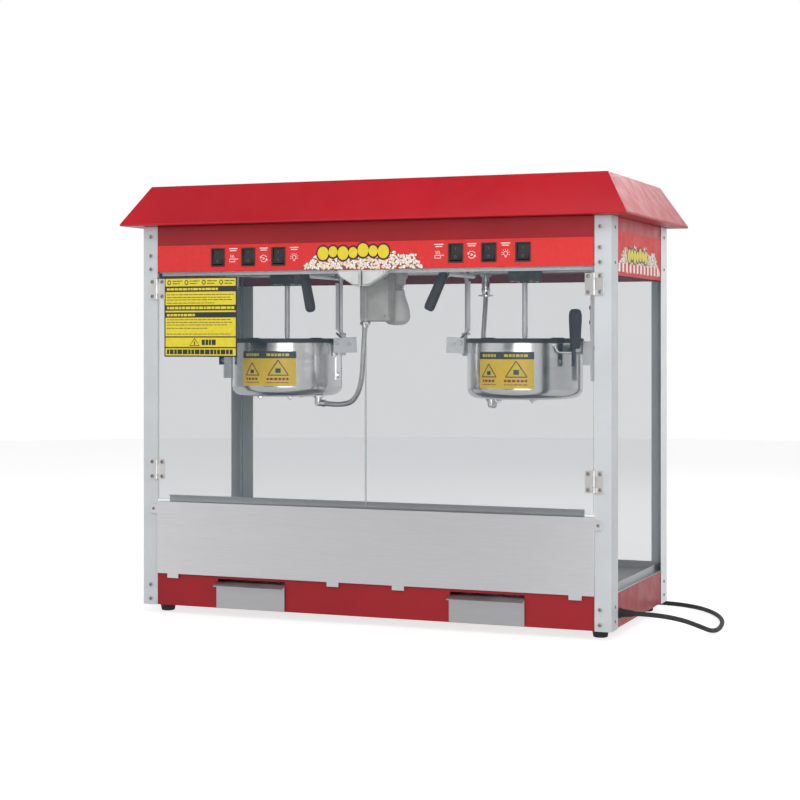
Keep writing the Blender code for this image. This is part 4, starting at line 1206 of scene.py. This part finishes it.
def notice():
    """The yellow notice on the left door: bands and bars only, with no words."""
    left, right, low, high = NOTICE
    face = DOOR[0].y
    shape = new_shape()
    block(shape, (left, right), (face - 0.0005, face - 0.0003), (low, high), ink=1)
    edge = 0.0025
    inner = (left + edge, right - edge)
    width = inner[1] - inner[0]
    sheet = (face - 0.0006, face - 0.00045)
    fields = (
        (0.6077, 0.6218), (0.5729, 0.5973), (0.5596, 0.5626), (0.5151, 0.5496), (0.4955, 0.5127),
        (0.4797, 0.493),
    )
    for bottom, top in fields:
        block(shape, inner, sheet, (bottom, top), ink=0)
    height = (face - 0.00075, face - 0.00055)
    rng = random.Random(3)
    rows = (
        (0.6023, 0.004, 0.75, 0), (0.5921, 0.0012, 0.97, 1), (0.587, 0.0012, 0.92, 1),
        (0.5825, 0.0012, 0.95, 1), (0.5766, 0.0012, 0.7, 1), (0.5676, 0.0048, 0.98, 0),
        (0.5544, 0.0042, 0.44, 0), (0.5457, 0.0012, 0.94, 1), (0.5408, 0.0012, 0.97, 1),
        (0.536, 0.0012, 0.88, 1), (0.53, 0.0012, 0.6, 1), (0.5192, 0.0012, 0.93, 1),
        (0.4863, 0.0088, 0.97, 1),
    )
    for level, thick, share, ink in rows:
        bars(shape, inner[0] + 0.003, inner[0] + share * width, level, height, thick, rng, ink)
    for number in range(4):
        x = inner[0] + 0.008 + 0.036 * number
        printed_blob(shape, (x, 0.6147), 0.004, height, 1)
        printed_blob(shape, (x, 0.6147), 0.0024, (face - 0.0009, face - 0.0007), 0)
        bars(shape, x + 0.007, x + 0.027, 0.6172, height, 0.0016, rng, 1)
        bars(shape, x + 0.007, x + 0.022, 0.6125, height, 0.0016, rng, 1)
    triangle = mm(-352, 497.8, -332, 497.8, -342, 511)
    stroke(shape, triangle, 0.0022, height, 1, closed=True)
    stroke(shape, mm(-342, 499, -342, 505.8), 0.0022, height, 1)
    bars(shape, -0.327, -0.295, 0.504, height, 0.01, rng, 1)
    piece("door_notice", shape, ["yellow", "ink"], "left_door", sharp=20)


# ---- kettles


def pot_profile():
    """Up the outer wall from the bottom's middle, over the rim and down inside."""
    profile = [(0.0, POT_BOTTOM), (POT_RADIUS - POT_CORNER - 0.004, POT_BOTTOM)]
    for step in range(9):
        angle = math.radians(-90 + 90 * step / 8)
        out = POT_RADIUS - POT_CORNER + POT_CORNER * math.cos(angle)
        profile.append((out, POT_BOTTOM + POT_CORNER + POT_CORNER * math.sin(angle)))
    inside = POT_RADIUS - 0.0025
    profile += [(POT_RADIUS, 0.45), (POT_RADIUS, POT_RIM - 0.0018), (POT_RADIUS - 0.0006, POT_RIM - 0.0012)]
    profile += [(inside + 0.0006, POT_RIM - 0.0012), (inside, POT_RIM - 0.0018)]
    small = POT_CORNER - 0.002
    for step in range(7):
        angle = math.radians(-90 * step / 6)
        out = inside - small + small * math.cos(angle)
        profile.append((out, POT_BOTTOM + 0.0035 + small + small * math.sin(angle)))
    profile.append((0.0, POT_BOTTOM + 0.0035))
    return profile


def half_disc(side, rear, radius, gap=0.0004):
    """The rear or the front part of the round lid, split by a straight line along X."""
    split = LID_SPLIT + (gap if rear else -gap)
    start = math.asin(split / radius)
    sweep = math.pi - 2 * start if rear else math.pi + 2 * start
    points = []
    count = 36
    for number in range(count + 1):
        angle = start + sweep * number / count if rear else start - sweep * number / count
        points.append((side * KETTLE_X + radius * math.cos(angle), KETTLE_Y + radius * math.sin(angle)))
    return points


def lid_sheet(shape, outline, low, high):
    """A pressed lid: a flat top with a rounded edge, hollow underneath."""
    prism(shape, outline, "Z", low, high, 0.0012)
    under = [face for face in shape.faces if face.normal.z < -0.9 and len(face.verts) > 8]
    bmesh.ops.inset_region(shape, faces=under, thickness=0.0015)
    bmesh.ops.translate(
        shape, vec=(0, 0, (high - low) * 0.72), verts=list({v for face in under for v in face.verts}),
    )


def kettles():
    for word, side in SIDES:
        pot(word, side)
        kettle_lids(word, side)
        kettle_pivots(word, side)
        kettle_label(word, side)
        kettle_underside(word, side)


def pot(word, side):
    shape = new_shape()
    lathe(shape, pot_profile(), (side * KETTLE_X, KETTLE_Y, 0), segments=112)
    piece(f"pot_{word}", shape, ["pot"], f"{word}_kettle", [f"kettle_{word}"], 50)


def kettle_lids(word, side):
    """The fixed rear half and the front flap, each with a turned-down rim, and hinge pins."""
    centre = (side * KETTLE_X, KETTLE_Y)
    skirt = (POT_RIM - 0.003, POT_RIM + 0.0015)
    rear = new_shape()
    lid_sheet(rear, half_disc(side, True, LID_RADIUS), POT_RIM, LID_TOP)
    curved_patch(rear, LID_RADIUS - 0.0016, (83.8, 276.2), skirt, 0.0016, centre)
    flap = new_shape()
    lid_sheet(flap, half_disc(side, False, LID_RADIUS), POT_RIM + 0.0005, LID_TOP)
    curved_patch(flap, LID_RADIUS - 0.0016, (-83.0, 83.0), skirt, 0.0016, centre)
    for end in (-1, 1):
        middle = side * KETTLE_X + end * 0.066
        pin = [(middle + reach, KETTLE_Y + LID_SPLIT, LID_TOP + 0.0002) for reach in (-0.012, 0.012)]
        rod(rear, *pin, 0.0012, 0.0002, 12)
    rod(rear, (side * 0.3395, KETTLE_Y, 0.5085), (side * 0.3475, KETTLE_Y, 0.5085), 0.003)
    piece(f"rear_lid_{word}", rear, ["lid"], f"{word}_kettle")
    piece(f"front_lid_{word}", flap, ["lid"], f"{word}_flap", [f"lid_flap_{word}"])


def kettle_pivots(word, side):
    """Bosses, pins, nuts and the angular lug plate at the inner pivot."""
    shape = new_shape()
    near, far = KETTLE_X - POT_RADIUS, KETTLE_X + POT_RADIUS

    def along(start, end, radius, ink=0):
        ends = [(side * place, KETTLE_Y, PIVOT_Z) for place in (start, end)]
        rod(shape, *ends, radius, ink=ink)

    along(near + 0.003, near - 0.0035, 0.0118)
    along(near + 0.002, near - 0.022, 0.0049)
    along(far - 0.003, far + 0.0022, 0.0118)
    along(far - 0.002, far + 0.0293, 0.0049)
    hex_nut(shape, (side * (near - 0.0164), KETTLE_Y, PIVOT_Z), (-side, 0, 0), 0.013, 0.0058)
    hex_nut(shape, (side * (far + 0.0255), KETTLE_Y, PIVOT_Z), (side, 0, 0), 0.0125, 0.0036)
    lug = [(near - 0.003, 0.479), (near + 0.004, 0.472), (near + 0.004, 0.504), (near - 0.003, 0.503)]
    prism(shape, mirrored(side, lug), "Y", KETTLE_Y - 0.015, KETTLE_Y + 0.015, 0.0006)
    block(shape, span(side, near - 0.002, near + 0.004), about(KETTLE_Y, 0.009), (0.433, 0.48), 0.0005)
    hex_nut(shape, (side * (near - 0.0018), KETTLE_Y, 0.442), (-side, 0, 0), 0.009, 0.003)
    piece(f"kettle_pivots_{word}", shape, ["chrome"], f"{word}_kettle")


def kettle_underside(word, side):
    """The pan under the pot, its small screws, and the conduit's threaded fitting."""
    shape = new_shape()
    centre = (side * KETTLE_X, KETTLE_Y, POT_BOTTOM - 0.0012)
    lathe(shape, mm(0, 0, 78, 0, 79.5, 0.6, 80, 1.6), centre, segments=72)
    for degrees in (-120, -60, 90):
        angle = math.radians(degrees)
        place = (
            centre[0] + 0.062 * math.cos(angle), KETTLE_Y + 0.062 * math.sin(angle), POT_BOTTOM - 0.001,
        )
        hex_nut(shape, place, -Z_AXIS, 0.0085, 0.0036)
        lathe(shape, mm(2.1, 0, 2.1, 6.2, 1.3, 7), place, -Z_AXIS, 14)
    x, y = FITTING[word]
    hex_nut(shape, (x, y, POT_BOTTOM + 0.0005), -Z_AXIS, 0.0165, 0.0045)
    elbow = mm(7.2, 0, 7.2, 15, 6.2, 18, 3.4, 19.6, 0, 20)
    lathe(shape, elbow, (x, y, POT_BOTTOM), -Z_AXIS, 28)
    start, after = (Vector(point) for point in CONDUIT_ROUTES[word][:2])
    collar = mm(6, 0, 6, 10, 7, 10.6, 7, 15, 6.2, 16)
    lathe(shape, collar, (x, y, start.z), after - start, 28)
    piece(f"kettle_underside_{word}", shape, ["pot"], f"{word}_kettle")


def drum_point(centre, radius, angle, height):
    """A point on an upright drum. Angle 0, in degrees, faces the front, -Y."""
    turn = math.radians(angle)
    return Vector((centre[0] + radius * math.sin(turn), centre[1] - radius * math.cos(turn), height))


def curved_patch(shape, radius, angles, heights, thickness, centre, ink=0):
    """A thin plate wrapped on an upright drum."""
    (low, high), (start, end) = heights, angles
    count = max(2, round((end - start) / 2.0))
    turns = [start + (end - start) * number / count for number in range(count + 1)]
    outer = radius + thickness
    rows = []
    for reach, height in ((radius, low), (outer, low), (outer, high), (radius, high)):
        rows.append([shape.verts.new(drum_point(centre, reach, angle, height)) for angle in turns])
    faces = [shape.faces.new([row[number] for row in rows]) for number in (0, count)]
    for first, second in zip(rows, (*rows[1:], rows[0])):
        faces += bridge(shape, first, second, closed=False)
    finish_faces(shape, faces, ink)


def curved_stroke(shape, start, end, width, centre, level, ink):
    """A printed line on the drum between two (angle, height) points."""
    steps = max(2, round(abs(end[0] - start[0]) / 1.5))
    start, end = Vector(start), Vector(end)
    places = [start.lerp(end, number / steps) for number in range(steps + 1)]
    points = [drum_point(centre, POT_RADIUS + 0.0003 + level, *place) for place in places]
    for first, second in zip(points, points[1:]):
        out = Vector((first.x - centre[0], first.y - centre[1], 0)).normalized()
        across = out.cross((second - first).normalized()) * width / 2
        corners = (first + across, first - across, second - across, second + across)
        rings = [[shape.verts.new(point + lift * out) for point in corners] for lift in (0, 0.00012)]
        finish_faces(shape, [*map(shape.faces.new, rings), *bridge(shape, *rings)], ink)


def curved_triangle(shape, middle, wide, base, top, centre):
    """A yellow warning triangle with a dark border and a dark mark in it."""
    rows = 10
    for row in range(rows):
        share = (row + 0.5) / rows
        level = base + (top - base) * share
        ends = [(turn, level) for turn in about(middle, wide * (1 - share))]
        curved_stroke(shape, *ends, (top - base) / rows + 0.0001, centre, 0.0, 3)
    corners = [(middle - wide, base), (middle + wide, base), (middle, top)]
    for first, second in zip(corners, (*corners[1:], corners[0])):
        curved_stroke(shape, first, second, 0.002, centre, 0.0002, 2)
    thick = 0.3 * (top - base)
    ends = [(turn, base + thick) for turn in about(middle, 0.26 * wide)]
    curved_stroke(shape, *ends, thick, centre, 0.0002, 1)


def kettle_label(word, side):
    """A plain mustard label with a dark header, two triangles and printed bars."""
    shape = new_shape()
    centre = (side * KETTLE_X, KETTLE_Y)
    angles = LABEL_ANGLES[word]
    turn = sum(angles) / 2
    header = LABEL_HIGH - HEADER_HEIGHT
    surface = POT_RADIUS - 0.0002
    curved_patch(shape, surface, angles, (LABEL_LOW, header), 0.0004, centre, 0)
    curved_patch(shape, surface, angles, (header, LABEL_HIGH), 0.0004, centre, 1)
    for middle, wide in ((-17.0, 8.5), (12.0, 10.5)):
        base = LABEL_LOW + 0.0205
        curved_triangle(shape, turn + middle, wide, base, base + 0.0027 * wide, centre)
    rng = random.Random(21)
    rows = ((LABEL_LOW + 0.0135, 0.0042, 2), (LABEL_LOW + 0.0068, 0.0018, 2), (header + 0.0065, 0.0048, 3))
    for level, thick, ink in rows:
        for start, end in ((turn - 25.0, turn - 9.0), (turn, turn + 24.0)):
            angle = start
            while angle < end - 1.5:
                width = min(rng.uniform(1.8, 4.0), end - angle)
                curved_stroke(shape, (angle, level), (angle + width, level), thick, centre, 0.0, ink)
                angle += width + 1.0
    inks = ["mustard", "header", "shadow", "yellow"]
    piece(f"kettle_label_{word}", shape, inks, f"{word}_kettle", sharp=50)


# ---- stirring drive


def drive_parts(word, side):
    """The stirring shaft with its collar and pin, the hub round it, and the motor's screws."""
    x, y = side * KETTLE_X, KETTLE_Y
    shaft = new_shape()
    profile = [(0.0042, SHAFT_BOTTOM), (0.005, SHAFT_BOTTOM + 0.0008), (0.005, 0.54)]
    profile += [(0.005, SHAFT_TOP - 0.001), (0.004, SHAFT_TOP)]
    lathe(shaft, profile, (x, y, 0), segments=36)
    collar = mm(4.6, 693, 8.6, 693, 9, 693.5, 9, 699.5, 8.6, 700, 4.6, 700)
    lathe(shaft, collar, (x, y, 0), segments=36)
    rod(shaft, *((end, y, 0.5275) for end in about(x, 0.0064)), 0.0012, 0.0002, 12)
    piece(f"shaft_{word}", shaft, ["satin"], f"{word}_shaft", [f"drive_shaft_{word}"])
    hub = new_shape()
    sleeve = mm(5.5, 612, 8.2, 612, 9, 612.8, 9, 684.5, 8.5, 685, 5.5, 685)
    lathe(hub, sleeve, (x, y, 0), segments=36, ring=True)
    piece(f"hub_{word}", hub, ["cast"], f"{word}_hub", [f"drive_hub_{word}"])
    bolts = new_shape()
    for bolt_x in about(x, 0.018):
        for bolt_y in about(y, 0.018):
            screw(bolts, (bolt_x, bolt_y, 0.615), -Z_AXIS, 0.003)
    piece(f"drive_screws_{word}", bolts, ["zinc", "recess_shade_and_black_heads"], "cabinet")


def lift_lever(word, side):
    """The lever that lifts a shaft: a steel rod and fork, and a sleeve-shaped grip."""
    steel = new_shape()
    arm = [
        (LEVER_X - 0.002, LEVER_Z - 0.002), (LEVER_X + 0.002, LEVER_Z - 0.002),
        (LEVER_X + 0.002, FORK_TOP - 0.003), (KETTLE_X - 0.0115, FORK_TOP - 0.003),
        (KETTLE_X - 0.0115, FORK_TOP), (LEVER_X - 0.002, FORK_TOP),
    ]
    outline = mirrored(side, arm)
    prism(steel, outline, "Y", KETTLE_Y - 0.0098, KETTLE_Y + 0.0098, 0.0005)
    for way in (-1, 1):
        tine = sorted((KETTLE_Y + way * 0.0067, KETTLE_Y + way * 0.0098))
        block(
            steel, span(side, KETTLE_X - 0.0125, KETTLE_X + 0.0508), tine, (FORK_TOP - 0.003, FORK_TOP),
            0.0005,
        )
    rod(steel, (side * LEVER_X, -0.166, LEVER_Z), (side * LEVER_X, KETTLE_Y + 0.0098, LEVER_Z), 0.0039)
    rod(steel, (side * LEVER_X, -0.156, LEVER_Z), (side * LEVER_X, -0.15, LEVER_Z), 0.007, 0.0008)
    top = Vector((side * LEVER_X, -0.1634, LEVER_Z + 0.0028))
    low = Vector((side * 0.1132, -0.1846, 0.5602))
    along = (low - top).normalized()
    rod(steel, top + 0.002 * along, low - 0.01 * along, 0.0036)
    piece(f"lever_steel_{word}", steel, ["upright"], f"{word}_lever", [f"lift_lever_{word}"])
    grip = new_shape()
    length = (low - top).length
    profile = mm(0, 0, 5.8, 0.4, 8, 1.8, 9, 4.6)
    profile += repeated(3, 0.0034, mm(9.1, 10, 8.5, 10.8, 8.5, 11.6, 9.1, 12.4))
    profile += [(0.009, 0.03), (0.0094, length * 0.75), (0.0095, length - 0.0085)]
    profile += [(0.0088, length - 0.004), (0.0068, length - 0.0012), (0.0, length)]
    lathe(grip, profile, top, along, 40)
    piece(f"lever_grip_{word}", grip, ["grip"], f"{word}_lever")


def tilt_handle(word, side):
    """The tilting grip: a tapered sleeve on a flat bar that is clamped to the outer pin."""
    bar_x = span(side, 0.347, 0.351)
    metal = new_shape()
    outline = mm(
        -87, 503, -85.5, 504.5, -74.5, 504.5, -73, 503, -73, 462.6, -74.4, 461.2, -85.8, 461.2,
        -87, 462.6,
    )
    prism(metal, outline, "X", *bar_x, 0.0006)
    block(metal, bar_x, (-0.074, -0.0112), (0.4862, 0.4998), 0.0008, 1)
    ends = [(x, KETTLE_Y, PIVOT_Z) for x in bar_x]
    rod(metal, *ends, 0.0108, ink=1)
    outward = max(bar_x, key=abs)
    hex_nut(metal, (outward, KETTLE_Y, PIVOT_Z), (side, 0, 0), 0.015, 0.0048, 1)
    screw_place = (min(bar_x, key=abs), -0.08, 0.47)
    lathe(metal, mm(4.2, 0, 4, 1.6, 2.6, 2.4, 0, 2.6), screw_place, (-side, 0, 0), 20, ink=1)
    body = f"{word}_kettle"
    piece(f"tilt_bar_{word}", metal, ["black", "zinc"], body, [f"tilt_handle_{word}"])
    grip = new_shape()
    profile = mm(0, 0, 6.6, 0.2, 8, 1.4, 9, 4.5, 9.9, 16, 10.5, 30)
    profile += mm(11.1, 43, 11.6, 53, 11.5, 60, 10.4, 66, 7.4, 70, 0, 71)
    lathe(grip, profile, (side * 0.352, -0.08, 0.4925), segments=44)
    piece(f"tilt_grip_{word}", grip, ["grip"], body)
    brace = new_shape()
    route = mm(317.5, -91.5, 502, 318.5, -91.5, 496, 323, -90, 488, 330, -87, 486.2, 348, -80, 486.2, by=3)
    path = smooth_path(mirrored(side, route), 0.002)
    sweep(brace, path, lambda _: 0.0018, 12)
    knob = mm(3, 0, 3.6, 0.5, 3.6, 3, 2.2, 4)
    lathe(brace, knob, (side * 0.3165, -0.0895, 0.4995), (side * 0.73, -0.68, 0), 18)
    piece(f"tilt_brace_{word}", brace, ["zinc"], body)


# ---- hangers and conduits


def hanger(word, side):
    """What carries a kettle: an outer plate, a strap, and a rod with its bracket and lug."""
    plate = new_shape()
    rear = 0.028
    outline = [
        (rear, 0.6348), (-0.025, 0.6348), (-0.027, 0.592), (-0.03, 0.587), (-0.034, 0.5835),
        (-0.034, 0.436), (-0.0325, 0.4345), (-0.0055, 0.4345), (-0.004, 0.436), (-0.004, 0.5835),
        (0.01, 0.6), (rear, 0.615),
    ]
    prism(plate, outline, "X", *span(side, 0.3662, 0.3688), 0.0005)
    block(plate, span(side, 0.351, 0.367), (-0.0245, 0.0275), (0.6325, 0.635), 0.0005)
    block(plate, span(side, 0.1215, 0.352), (0.0085, 0.0275), (0.6327, 0.635), 0.0005)
    block(plate, span(side, 0.3648, 0.3664), (-0.031, -0.007), (0.52, 0.564), 0.0005)
    block(plate, span(side, 0.3525, 0.3664), (-0.034, -0.0325), (0.463, 0.506), 0.0005)
    for height in (0.6065, 0.566, 0.54):
        head = mm(4.5, 0, 4.5, 3.6, 3.4, 4.8, 0, 5.2)
        lathe(plate, head, (side * 0.3656, -0.019, height), (-side, 0, 0), 18, ink=1)
    for place in (0.145, 0.18, 0.295, 0.34):
        screw(plate, (side * place, 0.018, 0.6327), -Z_AXIS, 0.0028)
    names = [f"hanger_{word}"]
    piece(f"hanger_plate_{word}", plate, ["satin", "recess_shade_and_black_heads"], "cabinet", names)
    inner = new_shape()
    x = side * HANGER_ROD_X
    rod(inner, (x, KETTLE_Y, 0.519), (x, KETTLE_Y, 0.6335), 0.0035, 0.0005, 32)
    lathe(inner, mm(3.5, 0, 5, 1, 5, 8.5, 4.2, 10), (x, KETTLE_Y, 0.62), segments=28)
    hex_nut(inner, (x, KETTLE_Y, 0.6285), Z_AXIS, 0.0075, 0.0035)
    hex_nut(inner, (x, KETTLE_Y, 0.5212), Z_AXIS, 0.008, 0.0042)
    block(inner, span(side, 0.1208, 0.1304), about(KETTLE_Y, 0.011), (0.518, 0.521), 0.0004)
    block(inner, span(side, 0.1208, 0.124), about(KETTLE_Y, 0.011), (0.479, 0.521), 0.0004)
    block(inner, span(side, 0.122, 0.1295), (KETTLE_Y - 0.008, 0.0275), (0.6302, 0.6349), 0.0005)
    block(inner, span(side, 0.1265, 0.1355), (-0.0245, -0.023), (0.528, 0.616), 0.0003)
    block(inner, span(side, 0.1265, 0.128), (-0.0245, -0.0135), (0.528, 0.616), 0.0003)
    rod(inner, (side * 0.1262, KETTLE_Y, 0.5262), (side * 0.1335, KETTLE_Y, 0.5262), 0.0014, 0.0002, 12)
    tip = 0.083 if word == "left" else 0.095
    lug = [(tip, 0.485), (0.13, 0.4835), (0.131, 0.512), (tip + 0.0015, 0.514)]
    prism(inner, mirrored(side, lug), "Y", -0.045, -0.043, 0.0005, 1)
    hex_nut(inner, (side * (tip + 0.015), -0.0448, 0.501), -Y_AXIS, 0.008, 0.003)
    rod(inner, (side * 0.1224, -0.0435, 0.503), (side * 0.1224, -0.029, 0.503), 0.003)
    hex_nut(inner, (side * 0.1224, -0.0448, 0.503), -Y_AXIS, 0.0095, 0.0035)
    strap = mm(116.5, 507, 132.5, 520, 130.5, 523.5, 115, 510.5)
    prism(inner, mirrored(side, strap), "Y", -0.0315, -0.0295, 0.0004, 2)
    piece(f"hanger_rod_{word}", inner, ["satin", "whitened_trim", "cast"], "cabinet")


def conduit(word, _):
    """A spiral-wound hose, and its end fitting on the cabinet."""
    path = smooth_path(CONDUIT_ROUTES[word], 0.0008)

    def ridged(travelled):
        wave = math.sin(math.tau * travelled / CONDUIT_PITCH)
        return CONDUIT_RADIUS + HOSE_GROOVE * (math.tanh(2.5 * wave) - 1)

    shape = new_shape()
    sweep(shape, path, ridged, 18)
    hose = piece(f"conduit_hose_{word}", shape, ["hose"], None, [f"conduit_{word}"], 60)
    fixed = CONDUIT_ROUTES[word][-1]
    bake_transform(hose)
    ends = new_shape()
    if word == "left":
        hex_nut(ends, (fixed[0], fixed[1], fixed[2] + 0.0005), -Z_AXIS, 0.0165, 0.006)
        lathe(ends, mm(6.4, 0, 6.4, 11, 5.6, 12), fixed, -Z_AXIS, 28)
    else:
        hex_nut(ends, (fixed[0], fixed[1], fixed[2]), -Z_AXIS, 0.019, 0.006)
        body = mm(8, 0, 8, 25, 8.8, 26.2, 8.8, 31, 7.8, 33, 6.4, 40)
        lathe(ends, body, (fixed[0], fixed[1], fixed[2] - 0.004), -Z_AXIS, 32)
        wings = about(fixed[0], 0.015)
        level = fixed[2] - 0.044
        block(ends, wings, about(fixed[1], 0.0022), (level, level + 0.003), 0.0009)
        lathe(ends, mm(7.8, 0, 9, 1, 9, 3.5, 7.8, 4.5), (fixed[0], fixed[1], level - 0.001), Z_AXIS, 28)
    piece(f"conduit_fitting_{word}", ends, ["chrome"], "cabinet")


# ---- the whole model


def both_sides(*makers):
    """Makes the left and the right piece of each kind."""
    for make in makers:
        for word, side in SIDES:
            make(word, side)


def main():
    make_camera()
    make_studio()
    make_floor()
    mains_lead()
    lead_gland()
    dress_cad()
    glass_panes()
    both_sides(door_pull, hinges)
    feet()
    cabinet_screws()
    ceiling_trim()
    junction_box()
    lamp()
    label_band()
    both_sides(apron_band)
    switches()
    switch_icons()
    popcorn_art()
    notice()
    kettles()
    both_sides(drive_parts, lift_lever, tilt_handle, hanger, conduit)


LOOKS = make_materials()
main()
